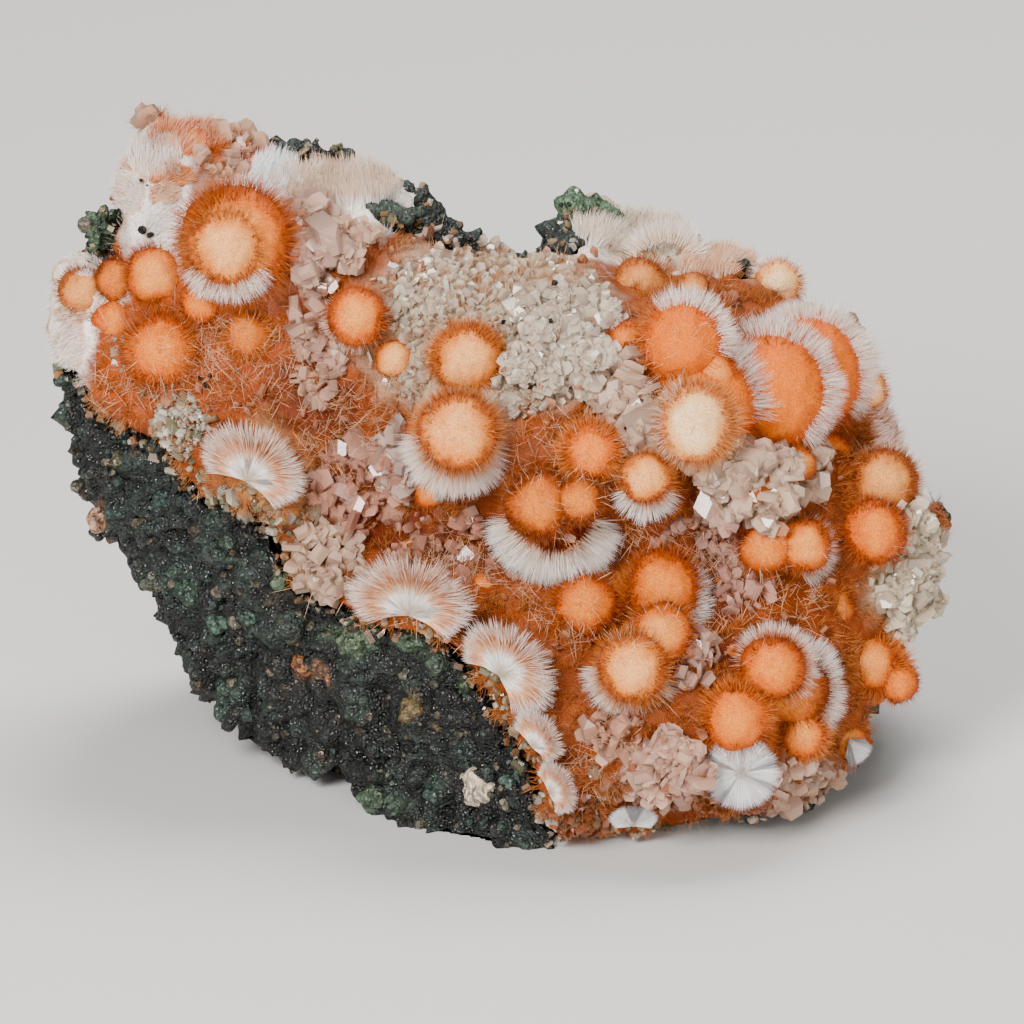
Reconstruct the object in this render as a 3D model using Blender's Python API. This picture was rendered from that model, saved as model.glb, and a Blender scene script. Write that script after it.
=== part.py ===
"""Thomsonite on basalt: a loose piece of dark rock with a crust of needle balls and pale crystals.

Places are given in millimetres on the "face", the plane square to the view the rock is shown from:
x to the right, y up and w towards the viewer. The face leans back by FACE_TILT from the vertical.
"""

import math
import random

import bmesh
import bpy
import numpy as np
from mathutils import Matrix, Vector, geometry, noise

MM = 0.001
FACE_TILT = math.radians(20)
FLOOR_Y = -44.8  # face height of the floor where w is 0
CENTRE_X = 0.0  # middle of the finished rock, in face millimetres
CENTRE_DEPTH = 32.92  # middle of the finished rock behind its nearest point
GAP = 0.3  # between pieces that touch
SHEET_SPACING = 6.0
CRUST_THICKNESS = 6.0
CORE_RADIUS = 1.9  # of the lump that carries a cluster of pale crystals
CHISEL = 0.62  # width of a pale crystal's end, as a share of its width
OUTCROP_DEPTH = 5.0
BREAK_STEP = 2.2  # the crust stands this far above the basalt along its broken edge
FINE_BALL = 6.5  # balls of a larger radius have four times the faces
KEPT_FACES = 0.84  # share of the faces kept where Booleans leave slivers
HUB = (0.0, 1.2)  # the outline is seen whole from here

# Uneven ground: size and height of its lumps, on the whole front, on bare basalt and on the back
FRONT_CRAG = (5.0, 1.3)
BASALT_CRAG = (3.1, 1.8)
BACK_CRAGS = ((11.0, 3.5), (6.0, 1.6))
STEP_RUN = 0.7  # width of the slope down from the crust to the basalt

# The back: how deep it reaches in the middle, and how much it is drawn in at the sides, foot and crest
BACK_REACH = 69.0
BACK_DROP = 17.0  # a place on the back stands this much lower than the face before it
SIDE_DRAW, SIDE_HALF_WIDTH = 9.0, 50.0
FOOT_DRAW, FOOT_TOP, FOOT_RUN, FOOT_MOST = 12.0, 16.0, 20.0, 1.4
CREST_DRAW, CREST_START, CREST_RUN, CREST_MOST = 7.0, 38.0, 24.0, 1.5

# The sheets of the rock: rings round its sides as share of the way back and scale of the outline
RINGS = ((0.3, 0.99), (0.62, 0.96), (0.88, 0.88))
SIDE_SCALE = 0.86  # the sides head for the back at this scale of the outline
BACK_SCALE = 0.76  # of the outline round the back sheet
BACK_SPACING, BACK_CLEAR = 9.0, 5.0
SEAM_NORMAL = (0.8, 0.6)  # square to the break line, towards the crust
SEAM_OFFSETS = (0.5, -0.8)  # of the rows of points along the break line
SEAM_CLEAR, SEAM_HALF = 1.5, 2.2  # room between those rows and the outline, and round the line

# The space that parts crust from basalt
OVERHANG = 1.14  # of the outline, so that the space reaches past the rim
BREAK_ENDS = ((-8.0, 3.5), (3.0, -9.0))  # moves of the ends of the break line, clear of the rock
SPACE_SPACING, SPACE_CLEAR = 9.0, 3.0
HOLD_SCALE, HOLD_STEPS = 0.985, 12  # draws places outside the outline back to it, to read the face there
WIDENING = (-0.8, -0.6)  # direction away from the crust
LID_DEPTH = 40.0

# Growths: how far they are sunk, as shares of their size, and how lumpy they are
FAN_SINK, FAN_WAIST, FAN_DEPTH = 0.1, 0.45, 0.9
OUTCROP_SINK, OUTCROP_ROUGHNESS = 0.66, 0.25
KNOB_SINK, KNOB_STRETCH, KNOB_ROUGHNESS = 0.45, (1.0, 0.85, 0.9), 0.5
CORE_SINK = 1.6  # of the lump inside a cluster, in millimetres
GOLDEN_TURN = 137.5  # degrees between one crystal of a cluster and the next
OUTER_LEAN = 38.0  # degrees, of the outermost crystals

# The rock's outline on the face, anticlockwise from the left end
OUTLINE = [
    (-54.8, 18.0), (-54.2, 15.6), (-53.3, 9.6), (-52.8, 5.4), (-51.2, 1.2), (-50.4, -3.6),
    (-49.7, -6.6), (-46.4, -9.0), (-44.6, -12.0), (-42.2, -14.4), (-41.0, -19.2), (-38.0, -22.2),
    (-36.2, -26.4), (-32.9, -28.2), (-32.4, -34.2), (-25.4, -35.0), (-19.4, -35.4), (-17.0, -39.0),
    (-14.0, -42.0), (-8.6, -42.6), (-2.6, -44.2), (3.4, -45.6), (7.0, -44.4), (8.8, -42.6),
    (16.6, -43.0), (23.8, -40.8), (29.8, -40.2), (37.0, -41.0), (41.2, -37.2), (43.6, -33.0),
    (43.9, -28.2), (48.4, -25.8), (49.2, -21.6), (49.6, -17.4), (51.4, -14.4), (52.0, -9.6),
    (53.2, -7.8), (54.8, -5.4), (52.6, -2.4), (50.2, 1.8), (47.8, 6.0), (46.6, 9.6),
    (45.4, 13.2), (44.2, 16.8), (41.8, 19.8), (38.2, 21.4), (35.8, 22.2), (35.2, 25.2),
    (31.0, 26.6), (29.2, 28.8), (23.8, 29.4), (21.4, 31.8), (17.8, 33.0), (14.2, 34.2),
    (10.8, 35.6), (7.6, 34.2), (5.5, 30.6), (4.6, 27.6), (2.2, 27.6), (-0.8, 28.2),
    (-3.8, 30.2), (-7.4, 33.0), (-12.2, 36.0), (-17.0, 39.0), (-19.4, 40.2), (-23.6, 41.0),
    (-26.6, 40.6), (-30.2, 41.8), (-34.7, 43.4), (-40.0, 43.2), (-42.4, 45.2), (-43.6, 44.0),
    (-44.0, 42.0), (-45.8, 38.4), (-46.8, 34.8), (-50.0, 30.6), (-51.8, 26.2), (-54.5, 22.8),
]

# Where the crust is broken off and the bare basalt begins, from the left end to the near tip
BREAK_LINE = [
    (-54.2, 15.6), (-51.2, 13.0), (-48.8, 9.0), (-44.6, 6.0), (-40.4, 4.2), (-36.2, -2.4),
    (-29.6, -3.2), (-26.6, -8.4), (-24.8, -13.2), (-19.4, -15.0), (-15.2, -17.4), (-9.2, -18.2),
    (-5.0, -20.4), (-2.0, -25.2), (1.0, -30.0), (4.0, -34.8), (5.2, -40.2), (8.8, -42.6),
]

# Depth of the rim: x, y, w
RIM_SPOTS = [
    (4.6, -45.2, 0.0), (-2.6, -44.4, -2.2), (-17.0, -40.8, -12.0), (-32.6, -34.8, -28.6),
    (16.6, -42.6, -7.0), (38.2, -40.2, -13.8), (43.0, -33.6, -18.0), (49.2, -25.2, -22.0),
    (54.7, -5.4, -25.0), (46.0, 9.6, -25.0), (43.0, 18.0, -28.0), (28.6, 28.8, -35.0),
    (10.6, 35.4, -38.0), (2.2, 28.2, -28.0), (-7.4, 31.8, -22.0), (-29.0, 41.4, -20.0),
    (-42.2, 45.2, -16.0), (-54.8, 16.8, -14.0), (-53.0, 9.6, -18.0), (-42.2, -14.4, -24.0),
]

# Depth of the face inside the rim: x, y, w
FACE_SPOTS = [
    (4.6, -42.0, 2), (14.2, -38.4, 2), (26.2, -37.2, 3), (35.8, -36.0, -4), (16.6, -22.8, 7),
    (7.0, -26.4, 4), (28.6, -28.8, 5), (34.6, -22.8, 1), (39.4, -19.2, -6), (44.2, -22.8, -12),
    (47.8, -25.2, -16), (-0.2, -21.6, 2), (-9.8, -14.4, 0), (-28.8, 1.2, -4), (-46.4, 7.8, -10),
    (-20.6, 3.6, -8), (-12.2, -2.4, -10), (-3.8, -9.6, -8), (7.0, -12.0, -3), (14.2, -10.2, -5),
    (23.8, -7.8, -5), (28.6, -4.8, -6), (-5.6, 5.4, 5), (5.2, -2.4, 5), (16.6, 0.0, 6),
    (22.6, 6.6, 6), (21.7, 16.4, 3), (10.6, 9.6, 3), (-4.2, 14.8, 1), (7.0, 19.2, -2),
    (-2.6, 27.0, -13), (7.0, 25.8, -12), (17.8, 21.6, -8), (26.2, 20.4, -12), (32.2, 9.6, -8),
    (37.0, 11.4, -13), (41.8, 15.6, -18), (34.6, 0.0, -3), (35.8, -7.8, -5), (39.4, -12.0, -8),
    (45.4, -2.4, -12), (51.4, -4.8, -18), (48.4, -14.4, -16), (-31.8, 28.0, -4), (-41.4, 24.5, -9),
    (-41.4, 16.1, -7), (-50.6, 21.6, -12), (-30.5, 17.0, -8), (-17.5, 19.6, -5), (-12.8, 14.6, -5),
    (-38.6, 40.8, -12), (-43.4, 36.0, -12), (-24.2, 33.6, -14), (-18.2, 36.0, -16), (-9.8, 32.4, -18),
    (7.0, 31.8, -34), (16.6, 24.0, -26), (23.8, 25.2, -30), (33.0, 23.9, -30), (28.6, 27.6, -34),
    (-42.2, -2.4, -14), (-30.2, -14.4, -8), (-18.2, -26.4, -8), (-6.2, -36.0, -2), (-24.2, -33.6, -18),
    (-36.2, -24.0, -22), (-48.2, 0.0, -18), (-0.2, -40.8, 1),
]

# Needle balls of the crust: x, y, radius, how far the middle lies under the face (share of radius)
MOUNDS = [
    (-31.9, 28.2, 7.2, 0.45), (-17.4, 19.4, 4.6, 0.4), (-5.2, 5.2, 7.4, 0.5), (6.4, -4.0, 8.4, 0.6),
    (17.2, -0.4, 4.2, 0.4), (24.0, 9.0, 9.8, 0.7), (32.0, 10.8, 9.2, 0.55), (36.6, 12.8, 8.8, 0.35),
    (34.4, -8.4, 6.2, 0.6), (45.2, -3.0, 7.0, 0.6), (10.0, -15.0, 5.4, 0.5), (17.8, -16.2, 8.4, 0.65),
    (15.6, -22.9, 6.0, 0.4), (32.4, -22.4, 5.6, 0.35), (34.2, -25.2, 7.3, 0.6), (45.4, -22.6, 4.8, 0.4),
]
BALLS = [
    (-32.9, 27.8, 4.6, -0.55), (-41.6, 24.6, 3.2, 0.2), (-46.1, 24.0, 1.9, 0.1), (-50.0, 22.8, 2.8, 0.3),
    (-36.2, 21.2, 2.2, 0.0), (-41.0, 15.6, 4.0, 0.2), (-30.6, 17.4, 2.8, 0.1), (-17.4, 19.6, 3.4, -0.4),
    (-12.8, 14.4, 2.4, 0.0), (-4.2, 14.4, 4.2, 0.0), (-5.2, 5.8, 5.0, -0.35), (10.6, 3.4, 3.5, 0.0),
    (4.2, -3.0, 4.7, -0.35), (9.2, -2.4, 3.4, -0.6), (17.2, 0.2, 3.0, -0.7), (23.0, 6.7, 4.7, -0.35),
    (21.7, 16.4, 5.2, 0.0), (25.4, 12.8, 2.6, -0.8), (35.4, 1.9, 2.1, 0.1), (29.5, -3.4, 1.8, 0.0),
    (31.6, -7.8, 3.3, -0.5), (36.2, -7.8, 3.2, -0.5), (46.0, -0.2, 4.0, -0.5), (44.6, -6.2, 3.8, -0.5),
    (10.0, -15.0, 3.7, -0.2), (19.3, -12.8, 4.4, -0.4), (19.0, -18.2, 3.6, -0.9), (15.6, -22.4, 4.1, -0.5),
    (32.4, -22.4, 3.8, -0.6), (36.1, -30.5, 2.8, 0.1), (28.0, -28.4, 4.1, 0.0), (47.6, -24.2, 2.5, 0.0),
    (16.6, 23.4, 3.4, 0.1), (22.9, 22.7, 2.3, 0.1), (33.4, 23.8, 2.9, 0.1), (-24.0, 35.4, 2.6, 0.3),
    (-36.5, 37.0, 2.6, 0.3),
]

# Balls broken through, which show a flat face of radiating fibres: x, y, radius, turn to the left, turn down
FANS = [
    (-29.3, 0.2, 5.8, 25, 20), (-10.8, -16.4, 6.2, 15, 30), (0.2, -22.6, 5.6, 25, 20),
    (3.6, -31.0, 3.6, 30, 10), (6.4, -37.0, 3.2, 30, 10), (-47.4, 8.2, 4.2, 25, 25),
    (28.3, -34.3, 4.8, 0, 25), (42.0, -31.6, 3.2, -40, 20), (15.7, -40.2, 2.8, 0, 40),
]

# Basalt that shows through the crust: x, y, half width, half height
OUTCROPS = [
    (-48.2, 30.2, 3.4, 4.6), (-23.6, 39.2, 6.2, 2.2), (-12.6, 31.6, 4.2, 2.0),
    (-5.4, 28.6, 4.2, 1.8), (10.2, 31.8, 4.8, 3.2), (28.6, 25.0, 2.4, 2.0),
]

# Knobs on the bare basalt: x, y, radius
KNOBS = [
    (-47.5, 1.5, 3.4), (-41.0, -6.5, 3.8), (-38.5, -15.0, 4.0), (-32.5, -9.0, 3.6), (-31.5, -20.0, 3.4),
    (-31.0, -28.0, 4.2), (-24.5, -17.5, 3.4), (-23.0, -28.0, 4.0), (-16.5, -23.0, 3.6), (-14.5, -34.0, 4.2),
    (-9.0, -27.0, 3.6), (-5.5, -37.5, 3.6), (0.5, -40.5, 3.2),
]

# Clusters of pale crystals: name, x, y, half width, half height, crystals, length and thickness of a crystal
CLUSTERS = [
    ("pale_crystals_crest", 8.0, 17.5, 5.5, 6.5, 13, 6.0, 3.0),
    ("pale_crystals_right", 29.0, 0.4, 4.2, 4.2, 11, 8.0, 2.2),
    ("pale_crystals_lower_right", 49.4, -12.4, 2.2, 4.6, 8, 5.5, 2.8),
    ("pale_crystals_upper_left", -21.5, 28.2, 4.5, 3.0, 9, 5.0, 2.2),
    ("pale_crystals_lower_edge", 20.5, -34.0, 4.0, 2.6, 8, 5.0, 2.4),
]


def to_world(points):
    """Face millimetres to the world's metres: the face leans back and the floor is at height 0."""
    x, y, w = np.asarray(points, float).reshape(-1, 3).T
    rise, lean = math.cos(FACE_TILT), math.sin(FACE_TILT)
    depth = (y - FLOOR_Y) * lean - w * rise
    height = (y - FLOOR_Y) * rise + w * lean
    return np.stack([x - CENTRE_X, depth - CENTRE_DEPTH, height], axis=1) * MM


def face_axes():
    """The turn that takes x, y and w of the face to the world."""
    rise, lean = math.cos(FACE_TILT), math.sin(FACE_TILT)
    return Matrix(((1, 0, 0), (0, lean, -rise), (0, rise, lean)))


def inside(points, polygon):
    """Which points lie inside the polygon: an odd number of its sides cross the line to the right."""
    x, y = points[:, :1], points[:, 1:2]
    start = np.asarray(polygon, float)
    end = np.roll(start, -1, axis=0)
    spans = (start[:, 1] > y) != (end[:, 1] > y)
    rise = end[:, 1] - start[:, 1]
    rise = np.where(rise == 0, 1e-9, rise)
    cross_x = start[:, 0] + (y - start[:, 1]) * (end[:, 0] - start[:, 0]) / rise
    return (spans & (x < cross_x)).sum(axis=1) % 2 == 1


def distance_to(points, line, closed=True):
    """Distance from each point to the nearest side of the line."""
    start = np.asarray(line, float)
    end = np.roll(start, -1, axis=0) if closed else start[1:]
    start = start if closed else start[:-1]
    side = end - start
    share = ((points[:, None] - start) * side).sum(axis=2) / (side**2).sum(axis=1)
    nearest = start + np.clip(share, 0, 1)[..., None] * side
    return np.linalg.norm(points[:, None] - nearest, axis=2).min(axis=1)


def smooth_fit(spots, reach=3.0):
    """A smooth surface through spots: a sum of cones rounded over `reach`, one on each spot."""
    spots = np.asarray(spots, float)

    def cones(points):
        return np.sqrt(((points[:, None] - spots[:, :2]) ** 2).sum(axis=2) + reach**2)

    weights = np.linalg.solve(cones(spots[:, :2]), spots[:, 2])
    return lambda points: cones(points) @ weights


def crust_area(stretch):
    """The crust's outline: the break line, then the rim, pushed out by `stretch` about the hub."""
    hub = np.array(HUB)
    first = OUTLINE.index((8.8, -42.6))
    rim = np.array(OUTLINE[first + 1:] + OUTLINE[:1])
    return np.vstack([BREAK_LINE, hub + (rim - hub) * stretch])


face_depth = smooth_fit(RIM_SPOTS + FACE_SPOTS)
CRUST_AREA = crust_area(1.0)


def crag(points, size, height):
    """Uneven ground: smooth noise of the given lump size and height."""
    return np.array([height * noise.noise(Vector((x / size, y / size, 0.7))) for x, y in points])


def front(points):
    """Depth of the rock's front: the face, lower on the bare basalt, and rough where it isn't steep."""
    bare = ~inside(points, CRUST_AREA)
    edge = distance_to(points, BREAK_LINE, closed=False)
    step = np.where(bare, BREAK_STEP * np.clip(edge / STEP_RUN, 0, 1), 0)
    rough = crag(points, *FRONT_CRAG) + np.where(bare, crag(points, *BASALT_CRAG), 0)
    slope = face_depth(points + (0, 0.5)) - face_depth(points - (0, 0.5))
    return face_depth(points) - step + rough / (1 + slope**2)


def front_at(x, y):
    """Depth of the front at one place."""
    return float(front(np.array([[x, y]]))[0])


def back(points):
    """Depth of the rock's back: upright, rounded to the sides and drawn in near the floor."""
    rise, lean = math.cos(FACE_TILT), math.sin(FACE_TILT)
    x, y = points.T
    upright = (y - FLOOR_Y) * lean
    height = (y - FLOOR_Y) * rise - BACK_DROP
    reach = BACK_REACH - SIDE_DRAW * (x / SIDE_HALF_WIDTH) ** 2
    reach -= FOOT_DRAW * np.clip((FOOT_TOP - height) / FOOT_RUN, 0, FOOT_MOST) ** 2
    reach -= CREST_DRAW * np.clip((height - CREST_START) / CREST_RUN, 0, CREST_MOST) ** 2
    return (upright - reach) / rise + sum(crag(points, *lumps) for lumps in BACK_CRAGS)


def grid_points(outline, spacing, clear):
    """Points on a staggered grid inside the outline, no nearer to it than `clear`."""
    low, high = np.min(outline, axis=0), np.max(outline, axis=0)
    rows = np.arange(low[1], high[1], spacing * math.sqrt(0.75))
    grid = [
        (x + spacing / 2 * (row % 2), y)
        for row, y in enumerate(rows)
        for x in np.arange(low[0], high[0], spacing)
    ]
    grid = np.array(grid)
    return grid[inside(grid, outline) & (distance_to(grid, outline) > clear)]


def triangulated(outline, extra):
    """Points and triangles of a flat sheet: the outline's points first, then the extra ones."""
    points = np.vstack([outline, extra])
    ring = list(range(len(outline)))
    edges = [(i, (i + 1) % len(ring)) for i in ring]
    made = geometry.delaunay_2d_cdt([Vector(p) for p in points], edges, [ring], 1, 1e-4)
    if len(made[0]) != len(points):
        raise ValueError("two points of a sheet fall together")
    return points, [list(face) for face in made[2]]


def mesh_object(name, points, faces, collection):
    """An object from points in world metres, with its faces turned outwards."""
    mesh = bpy.data.meshes.new(name)
    mesh.from_pydata([tuple(p) for p in points], [], faces)
    shape = bmesh.new()
    shape.from_mesh(mesh)
    bmesh.ops.triangulate(shape, faces=shape.faces)
    bmesh.ops.recalc_face_normals(shape, faces=shape.faces)
    if shape.calc_volume(signed=True) < 0:
        bmesh.ops.reverse_faces(shape, faces=shape.faces)
    shape.to_mesh(mesh)
    shape.free()
    made = bpy.data.objects.new(name, mesh)
    collection.objects.link(made)
    return made


def rock_block(collection, name):
    """The whole rock before it is parted: a front sheet, rings round the sides and a back sheet."""
    hub = np.array(HUB)
    outline = np.array(OUTLINE)
    line = np.array(BREAK_LINE)
    seam = np.concatenate([line, (line[1:] + line[:-1]) / 2])[1:-1]
    seam = np.vstack([seam + offset * np.array(SEAM_NORMAL) for offset in SEAM_OFFSETS])
    seam = seam[distance_to(seam, outline) > SEAM_CLEAR]
    grid = grid_points(outline, SHEET_SPACING, SHEET_SPACING * 0.5)
    grid = grid[distance_to(grid, line, closed=False) > SEAM_HALF]
    flat, faces = triangulated(outline, np.vstack([seam, grid]))
    points = [np.column_stack([flat, front(flat)])]
    rim_depth = points[0][:len(outline), 2]
    ring = np.arange(len(outline))
    last = ring
    count = len(flat)
    for share, scale in RINGS:
        flat = hub + (outline - hub) * scale
        depth = rim_depth + share * (back(hub + (outline - hub) * SIDE_SCALE) - rim_depth)
        points.append(np.column_stack([flat, depth]))
        new = ring + count
        faces += [[last[i], new[i], new[i - 1], last[i - 1]] for i in ring]
        last = new
        count += len(ring)
    inner = grid_points(outline * BACK_SCALE, BACK_SPACING, BACK_CLEAR)
    flat, sheet = triangulated(hub + (outline - hub) * BACK_SCALE, inner)
    points.append(np.column_stack([flat, back(flat)]))
    new = ring + count
    faces += [[last[i], new[i], new[i - 1], last[i - 1]] for i in ring]
    faces += [[i + count for i in face] for face in sheet]
    return mesh_object(name, to_world(np.vstack(points)), faces, collection)


def crust_space(name, drop, widen, collection):
    """All that lies in front of the crust's underside, `drop` deeper and `widen` wider at the break."""
    area = crust_area(OVERHANG)
    area[0] += BREAK_ENDS[0]
    area[len(BREAK_LINE) - 1] += BREAK_ENDS[1]
    flat, sheet = triangulated(area, grid_points(area, SPACE_SPACING, SPACE_CLEAR))
    hub = np.array(HUB)
    outline = np.array(OUTLINE)
    held = flat.copy()
    for _ in range(HOLD_STEPS):
        out = ~inside(held, outline)
        held[out] = hub + (held[out] - hub) * HOLD_SCALE
    under = face_depth(held) - CRUST_THICKNESS - drop
    flat[:len(BREAK_LINE)] += widen * np.array(WIDENING)
    floor = np.column_stack([flat, under])
    lid = np.column_stack([flat[:len(area)], np.full(len(area), LID_DEPTH)])
    count, ring = len(flat), range(len(area))
    faces = sheet + [[i, (i + 1) % len(ring), count + (i + 1) % len(ring), count + i] for i in ring]
    faces.append([count + i for i in ring])
    return mesh_object(name, to_world(np.vstack([floor, lid])), faces, collection)


def ball(name, place, radius, collection, stretch=(1, 1, 1), rough=0.0):
    """A faceted ball, finer when it is large, or a rough lump stretched along the face's axes."""
    shape = bmesh.new()
    fineness = 2 if radius > FINE_BALL else 1
    bmesh.ops.create_icosphere(shape, subdivisions=fineness, radius=radius * MM)
    for corner in shape.verts:
        lumpy = noise.noise(corner.co.normalized() * 1.7 + Vector(place))
        corner.co *= 1 + rough * lumpy
    turn = face_axes().to_4x4() @ Matrix.Diagonal((*stretch, 1)) @ Matrix.Rotation(place[0], 4, "Z")
    bmesh.ops.transform(shape, matrix=turn, verts=shape.verts)
    mesh = bpy.data.meshes.new(name)
    shape.to_mesh(mesh)
    shape.free()
    made = bpy.data.objects.new(name, mesh)
    made.location = to_world(place)[0]
    collection.objects.link(made)
    return made


def fan(name, place, radius, turns, collection):
    """A broken half ball: a cone frustum whose wide flat end faces out of the break."""
    left, down = (math.radians(turn) for turn in turns)
    tilt = Matrix.Rotation(-left, 4, "Y") @ Matrix.Rotation(down, 4, "X")
    shape = bmesh.new()
    bmesh.ops.create_cone(
        shape, cap_ends=True, segments=16, radius1=radius * FAN_WAIST * MM, radius2=radius * MM,
        depth=radius * FAN_DEPTH * MM, matrix=face_axes().to_4x4() @ tilt,
    )
    mesh = bpy.data.meshes.new(name)
    shape.to_mesh(mesh)
    shape.free()
    made = bpy.data.objects.new(name, mesh)
    made.location = to_world(place)[0]
    collection.objects.link(made)
    return made


def crystal(name, place, turn, sides, collection):
    """A blocky crystal about its middle: a box that narrows at its outer end, like a chisel."""
    shape = bmesh.new()
    bmesh.ops.create_cube(shape, size=1, matrix=Matrix.Diagonal((*[side * MM for side in sides], 1)))
    for corner in shape.verts:
        if corner.co.z > 0:
            corner.co.x *= CHISEL
    mesh = bpy.data.meshes.new(name)
    shape.to_mesh(mesh)
    shape.free()
    made = bpy.data.objects.new(name, mesh)
    made.matrix_world = Matrix.Translation(to_world(place)[0]) @ face_axes().to_4x4() @ turn
    collection.objects.link(made)
    return made


def helper_collection(name, parent):
    """A collection of cutters or of shapes to fuse, which isn't part of the finished rock."""
    made = bpy.data.collections.new(name)
    parent.children.link(made)
    return made


def combine(target, operation, operand):
    """Adds a Boolean of the target with an object or with a whole collection."""
    step = target.modifiers.new(operation.lower(), "BOOLEAN")
    step.operation = operation
    step.solver = "MANIFOLD"  # the exact solver leaves open edges where many small lumps cross
    if isinstance(operand, bpy.types.Collection):
        step.operand_type = "COLLECTION"
        step.collection = operand
    else:
        step.object = operand
    target.modifiers.new(operation.lower() + "_triangles", "TRIANGULATE")


def settle(target):
    """Applies the Booleans, merges their thinnest faces and drops the crumbs beside the main body."""
    thinned = target.modifiers.new("thinned", "DECIMATE")
    thinned.ratio = KEPT_FACES
    graph = bpy.context.evaluated_depsgraph_get()
    mesh = bpy.data.meshes.new_from_object(target.evaluated_get(graph))
    target.modifiers.clear()
    shape = bmesh.new()
    shape.from_mesh(mesh)
    bodies = []
    waiting = set(shape.faces)
    while waiting:
        body = {waiting.pop()}
        spreading = list(body)
        while spreading:
            face = spreading.pop()
            for edge in face.edges:
                for other in edge.link_faces:
                    if other in waiting:
                        waiting.discard(other)
                        body.add(other)
                        spreading.append(other)
        bodies.append(body)
    bodies.sort(key=len)
    crumbs = [face for body in bodies[:-1] for face in body]
    bmesh.ops.delete(shape, geom=crumbs, context="FACES")
    shape.to_mesh(mesh)
    shape.free()
    target.data = mesh


def material(name, colour, roughness, transmission=0.0):
    """A Principled material for one mineral."""
    made = bpy.data.materials.new(name)
    made.use_nodes = True
    shader = made.node_tree.nodes["Principled BSDF"]
    shader.inputs["Base Color"].default_value = (*colour, 1)
    shader.inputs["Roughness"].default_value = roughness
    shader.inputs["Metallic"].default_value = 0.0
    shader.inputs["Transmission Weight"].default_value = transmission
    return made


def slab(name, middle, turn, sides, collection):
    """A large box for trimming the rock: middle and sides in world millimetres."""
    shape = bmesh.new()
    bmesh.ops.create_cube(shape, size=1, matrix=Matrix.Diagonal((*[side * MM for side in sides], 1)))
    mesh = bpy.data.meshes.new(name)
    shape.to_mesh(mesh)
    shape.free()
    made = bpy.data.objects.new(name, mesh)
    made.matrix_world = Matrix.Translation(Vector(middle) * MM) @ turn
    collection.objects.link(made)
    return made


def floor_cutters(collection):
    """The flat spot it rests on, and three slanting breaks that lift the underside round it."""
    sides = (200, 200, 40)
    made = [slab("floor_flat", (0, 0, -20), Matrix(), sides, collection)]
    for name, axis, angle, edge in (
        ("floor_left", "Y", 10, (-20, 0, 0)),
        ("floor_right", "Y", -10, (27, 0, 0)),
        ("floor_back", "X", 12, (0, 12, 0)),
    ):
        turn = Matrix.Rotation(math.radians(angle), 4, axis)
        outward = turn @ Vector((math.copysign(100, edge[0]) if edge[0] else 0, 100 if edge[1] else 0, -20))
        middle = Vector(edge) + outward
        made.append(slab(name, middle, turn, sides, collection))
    return made


def ball_places():
    """Middle and radius of every ball and mound of the crust."""
    rows = np.array(MOUNDS + BALLS)
    depth = front(rows[:, :2]) - rows[:, 2] * rows[:, 3]
    return [((x, y, w), r) for (x, y, r, _), w in zip(rows, depth)]


def cluster_crystals(cluster, grow):
    """Places, turns and sides of one cluster's crystals, each side larger by twice `grow`."""
    name, x, y, half_width, half_height, number, length, thickness = cluster
    dice = random.Random(name)
    made = []
    for k in range(number):
        around = k * math.radians(GOLDEN_TURN)
        out = math.sqrt((k + 0.3) / number)
        place_x = x + half_width * out * math.cos(around)
        place_y = y + half_height * out * math.sin(around)
        depth = front_at(place_x, place_y)
        tilt = Matrix.Rotation(math.radians(OUTER_LEAN) * out + dice.uniform(-0.2, 0.2), 4, "Y")
        turn = Matrix.Rotation(around, 4, "Z") @ tilt @ Matrix.Rotation(dice.uniform(0, 3), 4, "Z")
        long = length * dice.uniform(0.8, 1.25)
        thick = thickness * dice.uniform(0.8, 1.2)
        wide = thickness * dice.uniform(1.1, 1.9)
        sides = (wide + 2 * grow, thick + 2 * grow, long + 2 * grow)
        made.append(((place_x, place_y, depth + 0.1 * long), turn, sides))
    return made


def cluster_core(cluster, grow):
    """The lump inside the crust from which a cluster's crystals stand out."""
    x, y, half_width, half_height = cluster[1:5]
    stretch = [(half + grow) / CORE_RADIUS for half in (half_width, half_height, CORE_RADIUS)]
    return (x, y, front_at(x, y) - CORE_SINK), CORE_RADIUS, stretch


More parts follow.
